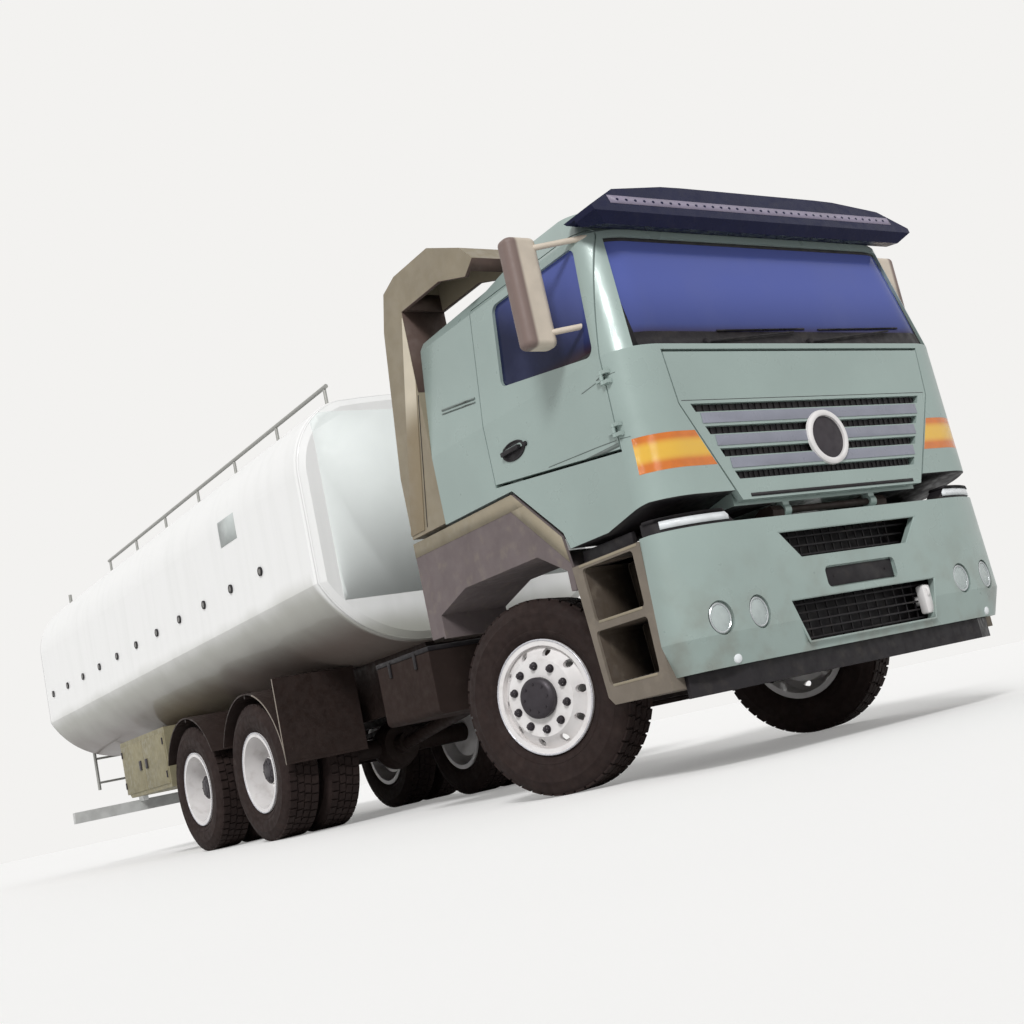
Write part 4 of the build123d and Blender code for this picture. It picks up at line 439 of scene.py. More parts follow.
def finish_recipes():
    """Every finish of the truck by name: what makes it, its colour and its other settings."""
    c = colours()
    # moulded: colour, grain, relief, roughness, dirt, gloss, spread
    # coated_steel: colour, roughness, metallic, rust
    # brushed_metal: colour, roughness, metallic
    # lens: colour, flutes, their direction, inner colour and the heights it lies between
    return {
        "cab_paint": (body_paint, c.cab[:]),
        "visor_paint": (moulded, c.visor[:], 300, 0.05, 0.3, 0.03, 0.12),
        "visor_band": (moulded, c.visor_band[:], 260, 0.5, 0.35, 0.1),
        "duct_paint": (moulded, c.duct[:], 500, 0.2, 0.5, 0.3),
        # duct_stripe: pale rib, darker lower down as painted shade
        "duct_stripe": (duct_rib, srgb(204, 194, 174), srgb(136, 122, 98)),
        "guard_paint": (moulded, c.guard[:], 460, 0.25, 0.55, 0.35),
        "guard_lining": (moulded, srgb(112, 102, 102), 220, 0.5, 0.75, 0.3),
        "step_plastic": (moulded, c.step[:], 380, 0.4, 0.65, 0.35),
        "step_tread": (moulded, srgb(70, 60, 50), 240, 0.5, 0.75, 0.2),
        "black_trim": (moulded, srgb(30, 27, 30), 420, 0.3, 0.5, 0.06, 0.3),
        "glass": (tinted_glass, c.glass[:]),
        "lamp": (lens, srgb(232, 236, 238), 120, "Y"),
        "lamp_reflector": (brushed_metal, srgb(196, 200, 202), 0.2, 0.7),
        "amber": (lens, c.amber[:], 150, "Z", srgb(236, 186, 62), *INDICATOR_MIDDLE),
        "red": (lens, srgb(176, 24, 22), 150, "Y"),
        "chassis_paint": (coated_steel, c.chassis[:]),
        "cast": (coated_steel, srgb(50, 40, 37), 0.6, 0.1, 0.2),
        # tank_paint: darker under the belly, painted shade with road dirt
        "tank_paint": (tank_coating, c.tank[:], c.shade_and_grime[:]),
        # The tank's front panel: a slightly darker, bluish white, painted shade on its front end
        "tank_panel": (moulded, srgb(238, 243, 241), 400, 0.02, 0.5, 0.0, 0.2, 0.01),
        "tank_trim": (coated_steel, srgb(158, 160, 160), 0.4, 0.3, 0.05),
        "rail_metal": (brushed_metal, srgb(168, 168, 164), 0.38, 0.6),
        "bright_metal": (brushed_metal, srgb(214, 214, 220), 0.22, 0.8),
        "dark_metal": (coated_steel, srgb(66, 62, 66), 0.4, 0.5, 0.1),
        "rim_metal": (rim_enamel, c.rim[:]),
        "tyre": (rubber, c.rubber[:]),
        "cabin_plastic": (moulded, srgb(58, 58, 66), 500, 0.3, 0.6, 0.05),
        "seat_fabric": (fabric, srgb(74, 78, 92)),
        "cabinet_paint": (coated_steel, c.cabinet[:], 0.5, 0.0, 0.02),
        # mirror_plastic: the second colour is painted shade on the outer half of the head
        "mirror_plastic": (mirror_housing, srgb(206, 194, 178), srgb(122, 104, 98)),
        "mirror_face": (mirror_glass, srgb(214, 218, 224)),
        # cab_shade: the cab paint darkened, painted shade for creases, grooves and the sill line
        "cab_shade": (body_paint, shaded(c.cab[:], 0.42)),
        "battery_plastic": (moulded, srgb(52, 42, 39), 380, 0.1, 0.8, 0.04, 0.1),
        "galvanised": (coated_steel, srgb(198, 199, 197), 0.5, 0.1, 0.03),
        # duct_shade: painted shade under the duct hoods
        "duct_shade": (moulded, srgb(84, 68, 62), 300, 0.2, 0.7, 0.1),
        "fog_lens": (lens, srgb(176, 186, 184), 220, "Y"),
        "slat": (moulded, srgb(138, 140, 152), 260, 0.04, 0.35, 0.02),
        "sign_plate": (moulded, srgb(200, 206, 204), 90, 0.02, 0.4, 0.0),
        "marker_lens": (lens, srgb(104, 102, 98), 240, "X"),
        "rear_guard": (moulded, srgb(136, 126, 116), 300, 0.15, 0.5, 0.3),
        "amber_rear": (lens, c.amber[:], 150, "Y"),
    }


NODE_FINISHES = {
    "cab_paint": ["cab_shell", "front_flap", "front_bumper", "door_right", "door_left"],
    "visor_paint": ["sun_visor"],
    "duct_paint": ["air_ducts"],
    "guard_lining": ["front_mudguards"],
    "step_plastic": ["step_wells"],
    "glass": ["windscreen", "door_glass_right", "door_glass_left"],
    "amber": ["indicators"],
    "black_trim": ["side_markers", "bumper_beam", "headlamps"],
    "red": ["tail_lamps"],
    "chassis_paint": [
        "frame", "leaf_springs", "drive_shafts", "cab_pivot", "tank_cradle", "rear_mudguards",
    ],
    "battery_plastic": ["battery_box"],
    "galvanised": ["underrun_bar"],
    "cast": [
        "front_axle", "drive_axles", "engine_block", "knuckle_right", "knuckle_left", "tie_rod",
    ],
    "tank_paint": ["tank_shell"],
    "rail_metal": [
        "fuel_tank", "manhole_collars", "guard_rail", "ladder",
        "manhole_lid_1", "manhole_lid_2", "manhole_lid_3",
    ],
    "rim_metal": [name for name in frame["nodes"] if "_rim_" in name or "_rims_" in name],
    "tyre": [name for name in frame["nodes"] if "_tyre_" in name or "_tyres_" in name],
    "cabin_plastic": ["dashboard"],
    "seat_fabric": ["seats"],
    "cabinet_paint": ["rear_cabinet"],
    "mirror_plastic": ["mirror_right", "mirror_left"],
}


# Making and placing pieces

# Points nearer than this are one point
WELD = 0.00001
SHARP_ANGLE = math.radians(32)
# Below any dot product, so that faces of every direction are kept
ANY_WAY = -2
# Planes well outside the truck in front and beside the cab, where rays start and zones end
AHEAD = 6
OUTSIDE = 1.6


def facing(origin, outward):
    """A placing whose Z axis points outward and whose Y axis points up."""
    outward = Vector(outward).normalized()
    across = UP.cross(outward).normalized()
    rise = outward.cross(across)
    placing = Matrix((across, rise, outward)).transposed().to_4x4()
    placing.translation = Vector(origin)
    return placing


def wheel_placing(body):
    """A wheel's centre, with the Z axis out of the truck along its axle."""
    joint = JOINTS[f"{body}_spin"]
    outward = Vector(joint["axis"]) * (1 if body.endswith("left") else -1)
    return facing(joint["pos_m"], outward)


def block(mesh, centre, size, placing=None, bevel=0.0):
    """A block with softened edges."""
    made = bmesh.ops.create_cube(mesh, size=1)["verts"]
    local = Matrix.Translation(Vector(centre)) @ Matrix.Diagonal((*size, 1))
    bmesh.ops.transform(mesh, matrix=(placing or Matrix()) @ local, verts=made)
    if bevel:
        edges = list({edge for vert in made for edge in vert.link_edges})
        bmesh.ops.bevel(
            mesh, geom=edges, offset=bevel, segments=2, profile=0.5, affect="EDGES", material=-1
        )


def rod(mesh, start, end, radius, segments=14, end_radius=None):
    """A round bar between two points."""
    start, end = Vector(start), Vector(end)
    made = bmesh.ops.create_cone(
        mesh,
        cap_ends=True,
        segments=segments,
        radius1=radius,
        radius2=radius if end_radius is None else end_radius,
        depth=(end - start).length,
    )["verts"]
    turn = UP.rotation_difference(end - start).to_matrix().to_4x4()
    bmesh.ops.transform(mesh, matrix=Matrix.Translation((start + end) / 2) @ turn, verts=made)


def turned(mesh, outline, placing, steps=40, closed=False):
    """A shape turned about the placing's Z axis from an outline of (radius, height)."""
    before = set(mesh.verts)
    points = [mesh.verts.new((radius, 0, height)) for radius, height in outline]
    ends = points[1:] + points[:1] if closed else points[1:]
    edges = [mesh.edges.new(pair) for pair in zip(points, ends)]
    bmesh.ops.spin(
        mesh,
        geom=points + edges,
        cent=(0, 0, 0),
        axis=UP,
        angle=math.tau,
        steps=steps,
        use_merge=True,
    )
    made = [vert for vert in mesh.verts if vert not in before]
    bmesh.ops.remove_doubles(mesh, verts=made, dist=WELD)
    made = [vert for vert in mesh.verts if vert not in before]
    bmesh.ops.transform(mesh, matrix=placing, verts=made)


def panel_skin(mesh, node, toward, least, keep):
    """Add the faces of a CAD node that look one way, cut off at planes."""
    part = bmesh.new()
    part.from_mesh(frame["nodes"][node].data)
    bmesh.ops.remove_doubles(part, verts=part.verts, dist=2 * WELD)
    away = [face for face in part.faces if face.normal.dot(Vector(toward)) < least]
    bmesh.ops.delete(part, geom=away, context="FACES")
    for point, normal in keep:
        bmesh.ops.bisect_plane(
            part,
            geom=part.verts[:] + part.edges[:] + part.faces[:],
            plane_co=Vector(point),
            plane_no=Vector(normal),
            clear_inner=True,
        )
    copy = bpy.data.meshes.new("cut")
    part.to_mesh(copy)
    part.free()
    mesh.from_mesh(copy)
    bpy.data.meshes.remove(copy)


def zone(x=None, y=None, z=None):
    """Planes that keep what lies between the given limits on each axis."""
    planes = []
    for axis, limits in enumerate((x, y, z)):
        if limits:
            low, high = sorted(limits)
            along = Vector([1.0 if i == axis else 0.0 for i in range(3)])
            planes += [(along * low, along), (along * high, -along)]
    return planes


def slanted(start, end, keep_side):
    """A plane parallel to Y through two points of a side view, keeping the side given."""
    start = Vector((start[0], 0, start[1]))
    run = Vector((end[0], 0, end[1])) - start
    normal = run.cross(LEFT).normalized()
    if normal.dot(Vector((keep_side[0], 0, keep_side[1])) - start) < 0:
        normal = -normal
    return start, normal


def finish_piece(
    name, mesh, body, finish, replaced=(), thickness=0.0, bevel=0.0, rounds=0
):
    """Turn a mesh into a named piece that rides on a body of the truck."""
    if not thickness:
        bmesh.ops.remove_doubles(mesh, verts=mesh.verts, dist=WELD)
        bmesh.ops.recalc_face_normals(mesh, faces=mesh.faces)
    data = bpy.data.meshes.new(name)
    mesh.to_mesh(data)
    mesh.free()
    if not data.polygons:
        raise RuntimeError(f"{name} came out empty")
    for polygon in data.polygons:
        polygon.use_smooth = True
    data.set_sharp_from_angle(angle=SHARP_ANGLE)
    piece = bpy.data.objects.new(name, data)
    bpy.context.scene.collection.objects.link(piece)
    data.materials.append(bpy.data.materials[f"{finish}_finish"])
    if thickness:
        wall = piece.modifiers.new("wall", "SOLIDIFY")
        wall.thickness = thickness
        wall.offset = 1.0
    if bevel:
        soft = piece.modifiers.new("soft_edges", "BEVEL")
        soft.width = bevel
        soft.segments = 2
        soft.limit_method = "ANGLE"
    if rounds:
        smooth = piece.modifiers.new("rounding", "SUBSURF")
        smooth.levels = rounds
        smooth.render_levels = rounds
    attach(piece, body)
    if replaced:
        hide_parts(*replaced)
    return piece


def skin_piece(name, body, finish, node, cuts, thickness, bevel=0.0):
    """A thin piece on a CAD node's skin, from the faces that each cut keeps."""
    mesh = bmesh.new()
    for toward, least, keep in cuts:
        panel_skin(mesh, node, toward, least, keep)
    finish_piece(name, mesh, body, finish, thickness=thickness, bevel=bevel)


def shifted(placing, x, y, z):
    """A placing moved along its own axes."""
    return placing @ Matrix.Translation((x, y, z))


def round_spots(count, radius, height, start=0.0):
    """Places evenly round a circle, beginning at an angle."""
    for i in range(count):
        angle = start + math.tau * i / count
        yield radius * math.cos(angle), radius * math.sin(angle), height


# Wheels

TWIN_OFFSET = 0.17
FRONT_DISC_FACE = 0.16
REAR_DISC_FACE = 0.014
STUD_RADIUS = 0.1675
STUD_COUNT = 10
HUB_BOLTS = 8
# Half a tyre's section: radius, distance from the tyre's middle
SIDEWALL = (
    (0.2875, 0.1), (0.2875, 0.1115), (0.3105, 0.1125), (0.318, 0.121), (0.336, 0.133),
    (0.3395, 0.1365), (0.352, 0.1395), (0.355, 0.1378), (0.359, 0.1398), (0.39, 0.1462),
    (0.41, 0.1478), (0.436, 0.1466), (0.44, 0.1478), (0.446, 0.1474), (0.45, 0.1442),
    (0.476, 0.1352), (0.498, 0.1262), (0.5075, 0.1145),
)
SHOULDER = 0.108
# Middles of the rows of tread blocks
TREAD_ROWS = (-0.0835, -0.0278, 0.0278, 0.0835)
OUTER_WIDTH, INNER_WIDTH = 0.053, 0.046
OUTER_SHIFT = 0.004
INNER_TURN = 0.16
BLOCK_SHARE = 0.8
BLOCK_ROOT = 0.004
TREAD_MARGIN = 0.0006
# Outlines that are turned about a wheel's axis: radius, distance outward
WASHER = ((0, 0), (0.023, 0), (0.023, 0.003), (0.0, 0.003))
FRONT_HUB = (
    (0.1026, 0.163), (0.108, 0.165), (0.108, 0.194), (0.103, 0.199), (0.09, 0.2085),
    (0.084, 0.2092), (0.06, 0.2094), (0.052, 0.2112), (0.03, 0.2125), (0, 0.2125),
)
REAR_HUB = (
    (0.1026, 0.02), (0.106, 0.022), (0.106, 0.196), (0.098, 0.214), (0.083, 0.2262),
    (0.06, 0.2275), (0.055, 0.232), (0.03, 0.234), (0, 0.234),
)
HUB_BOLT = ((0, 0.006), (0.0065, 0.006), (0.0075, 0.004), (0.0075, 0))
RIM_LIP = (
    (0.2975, 0.0002), (0.3056, 0.0002), (0.3062, 0.0032), (0.302, 0.0052), (0.2975, 0.003),
)
RIM_LIP_FACE = 0.128


def tyre_mesh(radius):
    """One tyre about the Z axis: a turned carcass and rows of tread blocks."""
    mesh = bmesh.new()
    depth = sizes().tread_depth
    half = [*SIDEWALL, (radius - depth, SHOULDER)]
    outline = [(r, -h) for r, h in half] + [(r, h) for r, h in reversed(half)]
    turned(mesh, outline, Matrix(), steps=72, closed=True)
    pitches = sizes().tread_pitches
    length = math.tau * radius / pitches * BLOCK_SHARE
    top = math.sqrt(radius**2 - (length / 2) ** 2) - TREAD_MARGIN
    for row, height in enumerate(TREAD_ROWS):
        outer = abs(height) > SHOULDER / 2
        width = OUTER_WIDTH if outer else INNER_WIDTH
        middle = height + math.copysign(OUTER_SHIFT, height) * outer
        lean = Matrix.Rotation(0.0 if outer else INNER_TURN * (-1) ** row, 4, "X")
        for pitch in range(pitches):
            # Each row starts a quarter of a pitch after the last
            angle = math.tau * (pitch + 0.25 * row) / pitches
            block(
                mesh,
                (top - depth / 2 - BLOCK_ROOT / 2, 0, middle),
                (depth + BLOCK_ROOT, length, width),
                Matrix.Rotation(angle, 4, "Z") @ lean,
            )
    return mesh


def wheel_bodies():
    """Each wheel's body, its placing, its tyres' offsets and its disc's face."""
    for body in FRONT_WHEELS:
        yield body, wheel_placing(body), (0.0,), FRONT_DISC_FACE
    for body in REAR_WHEELS:
        yield body, wheel_placing(body), (-TWIN_OFFSET, TWIN_OFFSET), REAR_DISC_FACE


class TRUCK_OT_tyres(bpy.types.Operator):
    """Fit tyres with bead rings, ribbed sidewalls and tread blocks"""

    bl_idname = "truck.tyres"
    bl_label = "Tyres"

    def execute(self, context):
        pattern = bpy.data.meshes.new("tyre_pattern")
        made = tyre_mesh(AXLE_HEIGHT)
        made.to_mesh(pattern)
        made.free()
        for body, placing, offsets, _ in wheel_bodies():
            mesh = bmesh.new()
            for offset in offsets:
                before = set(mesh.verts)
                mesh.from_mesh(pattern)
                fresh = [vert for vert in mesh.verts if vert not in before]
                bmesh.ops.transform(mesh, matrix=shifted(placing, 0, 0, offset), verts=fresh)
            node = body.replace("wheels", "tyres").replace("wheel_", "tyre_")
            finish_piece(f"tread_{body}", mesh, body, "tyre", (node,))
        bpy.data.meshes.remove(pattern)
        return {"FINISHED"}


class TRUCK_OT_wheel_nuts(bpy.types.Operator):
    """Fit ten capped nuts on washers, a bolted hub cover and a bright lip to each wheel"""

    bl_idname = "truck.wheel_nuts"
    bl_label = "Wheel nuts and hubs"

    def execute(self, context):
        across = sizes().nut_across
        nut = (
            (0, 0.003), (across, 0.003), (across, 0.022), (across - 0.003, 0.026),
            (0.009, 0.027), (0.009, 0.032), (0, 0.033),
        )
        for body, placing, offsets, face in wheel_bodies():
            nuts = bmesh.new()
            for place in round_spots(STUD_COUNT, STUD_RADIUS, face, math.radians(18)):
                spot = shifted(placing, *place)
                turned(nuts, WASHER, spot, 16)
                turned(nuts, nut, spot, 6)
            finish_piece(f"nuts_{body}", nuts, body, "dark_metal")
            hub = bmesh.new()
            if offsets[0]:
                outline, bolt_circle, bolt_face = REAR_HUB, 0.072, 0.2265
            else:
                outline, bolt_circle, bolt_face = FRONT_HUB, 0.074, 0.2086
            turned(hub, outline, placing, 48)
            for place in round_spots(HUB_BOLTS, bolt_circle, bolt_face):
                turned(hub, HUB_BOLT, shifted(placing, *place), 6)
            finish_piece(f"hub_{body}", hub, body, "dark_metal")
            lip = bmesh.new()
            lip_face = RIM_LIP_FACE + max(offsets)
            outline = [(radius, lip_face + height) for radius, height in RIM_LIP]
            turned(lip, outline, placing, 64, closed=True)
            finish_piece(f"lip_{body}", lip, body, "bright_metal")
        return {"FINISHED"}


# Lamps, bumper and grille


FOG_LAMPS = (
    # distance from the truck's middle, height, turn outward in degrees, depth of its recess
    (0.757, 0.666, 0.0, 0.0195),
    (0.985, 0.668, 12.0, 0.0375),
)
FOG_BEZEL = ((0.058, 0.0), (0.072, 0.0), (0.072, 0.013), (0.067, 0.016), (0.062, 0.013))
FOG_REFLECTOR = ((0.0, 0.002), (0.05, 0.002), (0.05, 0.005), (0.0, 0.0035))
FOG_COVER = ((0.061, 0.006), (0.061, 0.0105), (0.045, 0.014), (0.022, 0.0155), (0.0, 0.016))
PLATE_HEIGHT = 0.778
INTAKES = (
    # low edge, high edge, half the width at each, bars across
    (0.888, 1.028, 0.392, 0.518, 3),
    (0.484, 0.694, 0.472, 0.54, 5),
)
EYE_PLACE = (0.475, 0.59)
EYE_RING, EYE_ROD = 0.03, 0.01
CORNER_SENSOR = (
    (0.0, 0.012), (0.012, 0.011), (0.02, 0.007), (0.024, 0.0), (0.024, -0.01), (0, -0.01),
)


class TRUCK_OT_headlamps(bpy.types.Operator):
    """Lay clear covers in the black headlamp housings, with a black brow above them"""

    bl_idname = "truck.headlamps"
    bl_label = "Headlamps"

    def execute(self, context):
        low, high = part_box("headlamps")
        for side, s in SIDES:
            toward = (0.9, 0.4 * s, 0)
            inside = zone(
                x=(5.24, AHEAD), y=(s * 0.80, s * 1.145), z=(low.z + 0.014, high.z - 0.01)
            )
            skin_piece(
                f"headlamp_cover_{side}", "chassis", "lamp",
                "headlamps", [(toward, 0.2, inside)], 0.006,
            )
            above = zone(x=(5.2, AHEAD), z=(high.z - 0.008, high.z))
            skin_piece(
                f"headlamp_brow_{side}", "chassis", "black_trim",
                "headlamps", [(toward, 0.2, above)], 0.009,
            )
        return {"FINISHED"}


class TRUCK_OT_fog_lamps(bpy.types.Operator):
    """Set two oval fog lamps with bezel, reflector and fluted cover in each bumper recess"""

    bl_idname = "truck.fog_lamps"
    bl_label = "Fog lamps"

    def execute(self, context):
        for side, s in SIDES:
            bezel, cover = bmesh.new(), bmesh.new()
            for reach, height, turn, depth in FOG_LAMPS:
                angle = math.radians(turn) * s
                outward = Vector((math.cos(angle), math.sin(angle), 0))
                floor = Vector((BUMPER_FRONT - depth, s * reach, height))
                placing = facing(floor, outward) @ Matrix.Diagonal((0.8, 1.0, 1.0, 1))
                turned(bezel, FOG_BEZEL, placing, 36, closed=True)
                turned(bezel, FOG_REFLECTOR, placing, 36)
                turned(cover, FOG_COVER, placing, 36)
            finish_piece(f"fog_bezels_{side}", bezel, "chassis", "lamp_reflector")
            finish_piece(f"fog_covers_{side}", cover, "chassis", "fog_lens")
        return {"FINISHED"}


class TRUCK_OT_bumper_trim(bpy.types.Operator):
    """Fit the blank plate, the intakes' bars and rims, the towing eye and corner sensors"""

    bl_idname = "truck.bumper_trim"
    bl_label = "Bumper trim"

    def execute(self, context):
        front = BUMPER_FRONT
        plate = bmesh.new()
        block(plate, (front - 0.0165, 0, PLATE_HEIGHT), (0.005, 0.5, 0.094), bevel=0.002)
        for y in (-0.19, 0.19):
            screw = Vector((front - 0.015, y, PLATE_HEIGHT))
            rod(plate, screw, screw + 0.004 * FORWARD, 0.006, 10)
        finish_piece("blank_plate", plate, "chassis", "black_trim")
        bars = bmesh.new()
        for low, high, half_low, half_high, count in INTAKES:
            for i in range(count):
                share = (i + 0.5) / count
                height = low + share * (high - low)
                half = half_low + share * (half_high - half_low) + 0.01
                block(bars, (front - 0.078, 0, height), (0.016, 2 * half, 0.009), bevel=0.002)
            for i in range(-6, 7):
                place = (front - 0.086, i * half_low / 6.5, (low + high) / 2)
                block(bars, place, (0.008, 0.006, high - low + 0.02))
        finish_piece("intake_bars", bars, "chassis", "black_trim")
        rims = bmesh.new()
        for low, high, half_low, half_high, _ in INTAKES:
            upper, lower = front - 0.0065, front - 0.0075
            corners = [
                Vector((upper, -half_high, high)), Vector((upper, half_high, high)),
                Vector((lower, half_low, low)), Vector((lower, -half_low, low)),
            ]
            for start, end in zip(corners, corners[1:] + corners[:1]):
                rod(rims, start, end, 0.006, 10)
        finish_piece("intake_rims", rims, "chassis", "cab_paint")
        eye = bmesh.new()
        centre = Vector((front - 0.045, *EYE_PLACE))
        block(eye, centre, (0.05, 0.062, 0.15), bevel=0.012)
        rod(eye, centre - 0.06 * FORWARD, centre, 0.026, 18)
        ring = [(EYE_RING + x, y) for x, y, _ in round_spots(12, EYE_ROD, 0)]
        turned(eye, ring, facing(centre + 0.04 * UP, LEFT), 28, closed=True)
        finish_piece("towing_eye", eye, "chassis", "rim_metal")
        spots = bmesh.new()
        for _, s in SIDES:
            placing = facing((front - 0.038, s * 0.93, 0.474), (1, 0.12 * s, -0.1))
            turned(spots, CORNER_SENSOR, placing, 24)
        finish_piece("corner_sensors", spots, "chassis", "lamp")
        return {"FINISHED"}


GRILLE_TOP = 1.696
GRILLE_PITCH = 0.115
SLOT_HEIGHT = 0.042
GRILLE_SLOTS = 4
KNEE_HEIGHT = 1.7
KNEE_HALF = 0.849
FLAP_TAPER = (0.915 - 0.665) / 0.495
BOSS_PLACE = (0.03, 1.49)
BOSS_RING = (
    (0.112, 0.004), (0.114, 0.017), (0.122, 0.021), (0.134, 0.02), (0.143, 0.014),
    (0.146, 0.0), (0.112, 0.0),
)
BOSS_DISC = ((0, 0.012), (0.05, 0.0115), (0.09, 0.009), (0.1125, 0.005), (0.1125, 0), (0, 0))
CREASE = (1.712, 1.715)


def grille_half(height):
    """Half the grille's width at a height: it narrows downwards with the flap."""
    return KNEE_HALF - max(0.0, KNEE_HEIGHT - height) * FLAP_TAPER


class TRUCK_OT_grille(bpy.types.Operator):
    """Fit bright slats, a dark mesh behind the slots, the lower grille and a blank round boss"""

    bl_idname = "truck.grille"
    bl_label = "Grille"

    def execute(self, context):
        face = FLAP_HIGH.x
        front = (face - 0.02, face + 1)
        cuts = []
        for i in range(GRILLE_SLOTS - 1):
            high = GRILLE_TOP - SLOT_HEIGHT - i * GRILLE_PITCH - 0.006
            low = high - (GRILLE_PITCH - SLOT_HEIGHT) + 0.02
            half = grille_half(low) + 0.002
            cuts.append((FORWARD, 0.6, zone(x=front, y=(-half, half), z=(low, high))))
        skin_piece(
            "grille_slats", "front_flap", "slat", "front_flap", cuts, 0.004, 0.0015
        )
        backing = bmesh.new()
        for i in range(GRILLE_SLOTS):
            high = GRILLE_TOP - i * GRILLE_PITCH
            middle = high - SLOT_HEIGHT / 2
            half = grille_half(high - SLOT_HEIGHT) - 0.006
            block(backing, (face - 0.031, 0, middle), (0.004, 2 * half, SLOT_HEIGHT - 0.004))
            for j in range(-18, 19):
                place = (face - 0.026, j * half / 18.5, middle)
                block(backing, place, (0.006, 0.004, SLOT_HEIGHT - 0.006))
        finish_piece("grille_mesh", backing, "front_flap", "black_trim")
        low, high = FLAP_LOW.z + 0.012, GRILLE_TOP - GRILLE_SLOTS * GRILLE_PITCH - 0.002
        half = grille_half(low)
        below = zone(x=front, y=(-half, half), z=(low, high))
        skin_piece(
            "grille_lower", "front_flap", "black_trim",
            "front_flap", [(FORWARD, 0.6, below)], 0.003,
        )
        placing = facing((face - 0.004, *BOSS_PLACE), FORWARD)
        boss = bmesh.new()
        turned(boss, BOSS_RING, placing, 64, closed=True)
        finish_piece("boss_ring", boss, "front_flap", "rim_metal")
        disc = bmesh.new()
        turned(disc, BOSS_DISC, placing, 64)
        finish_piece("boss_disc", disc, "front_flap", "dark_metal")
        crease = zone(x=(face - 0.03, face + 1), y=(-0.9, 0.9), z=CREASE)
        skin_piece(
            "flap_crease", "front_flap", "dark_metal",
            "front_flap", [(FORWARD, 0.6, crease)], 0.0006,
        )
        return {"FINISHED"}


# Cab

WIPERS = (
    # y of the pivot, y and z of the tip
    (-0.62, 0.02, 2.075),
    (0.12, 0.78, 2.085),
)
WIPER_PIVOT = ((0, 0.012), (0.014, 0.01), (0.018, 0), (0.018, -0.02), (0, -0.02))
BLADE_STEPS = 8
BLADE_RISE, BLADE_DROP = 0.02, 0.012
BLADE_PAST_TIP = 0.1
VISOR_STUD_SPACING = 0.058
VISOR_STUD = ((0, 0.0045), (0.007, 0.0035), (0.009, 0.0005), (0.009, -0.004))
# A step along a line may be this much longer on the skin before it counts as a break
LONGEST_STEP = 1.5
# Lines in side view: distance forward of the front axle, height
CREASES = (((1.042, 1.878), (1.286, 1.9)), ((0.66, 1.622), (1.082, 1.597), (1.29, 1.58)))
VENT_LINE = ((-0.23, 2.228), (0.12, 2.178))
DUCT_JOINTS = (((-0.60, 1.64), (-0.29, 2.83)), ((-0.385, 1.64), (-0.385, 2.2)))
HANDLE_HEIGHT = 1.792
HANDLE_DISH = (
    (0, 0.0015), (0.084, 0.0015), (0.094, 0.006), (0.104, 0.006), (0.108, 0.0),
    (0.108, -0.004), (0, -0.004),
)
LOCK_BARREL = ((0, 0.012), (0.011, 0.011), (0.014, 0.006), (0.014, 0))


def skin_tree(node):
    """A search tree for points on a CAD node's skin."""
    data = frame["nodes"][node].data
    points = [vert.co for vert in data.vertices]
    return BVHTree.FromPolygons(points, [face.vertices for face in data.polygons])


def touch(tree, start, toward):
    """Where a ray first meets a node's skin, or None."""
    return tree.ray_cast(Vector(start), Vector(toward).normalized())[0]


def laid_line(mesh, tree, side, points, radius, steps=8):
    """A fine bead on a node's side along a line in side view, broken where the skin is."""
    starts = [Vector((STEER_X + x, side * OUTSIDE, z)) for x, z in points]
    for start, end in zip(starts, starts[1:]):
        stride = (end - start).length / steps
        hits = [
            touch(tree, start.lerp(end, i / steps), (0, -side, 0)) for i in range(steps + 1)
        ]
        for first, second in zip(hits, hits[1:]):
            if first and second and (second - first).length < stride * LONGEST_STEP:
                rod(mesh, first, second, radius, 6)


class TRUCK_OT_windscreen(bpy.types.Operator):
    """Lay the windscreen's dark border and its two wipers on the glass"""

    bl_idname = "truck.windscreen"
    bl_label = "Windscreen border and wipers"

    def execute(self, context):
        low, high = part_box("windscreen")
        front = (low.x, AHEAD)
        keeps = [zone(x=front, z=z) for z in ((low.z, low.z + 0.075), (high.z - 0.02, high.z))]
        keeps += [zone(x=front, y=(s * (high.y - 0.04), s * high.y)) for _, s in SIDES]
        skin_piece(
            "windscreen_border", "cab", "black_trim",
            "windscreen", [(FORWARD, 0.3, keep) for keep in keeps], 0.0015,
        )
        tree = skin_tree("windscreen")

        def on_glass(y, z, proud):
            """A point before the glass."""
            return touch(tree, (AHEAD, y, z), -FORWARD) + proud * FORWARD

        wipers = bmesh.new()
        for pivot_y, tip_y, tip_z in WIPERS:
            pivot = on_glass(pivot_y, low.z + 0.02, 0.012) - 0.004 * UP
            tip = on_glass(tip_y, tip_z, 0.014)
            turned(wipers, WIPER_PIVOT, facing(pivot, FORWARD), 18)
            rod(wipers, pivot, pivot.lerp(tip, 0.55), 0.0075, 10, 0.005)
            rod(wipers, pivot.lerp(tip, 0.52), tip, 0.0045, 8)
            first_y = pivot.lerp(tip, 0.16).y
            run = tip_y + BLADE_PAST_TIP - first_y
            for i in range(BLADE_STEPS):
                ends = []
                for step in (i, i + 1):
                    height = tip_z + BLADE_RISE - BLADE_DROP * (7 - step) / 7
                    ends.append(on_glass(first_y + run * step / BLADE_STEPS, height, 0.005))
                rod(wipers, *ends, 0.005, 8)
        finish_piece("wipers", wipers, "cab", "black_trim")
        return {"FINISHED"}


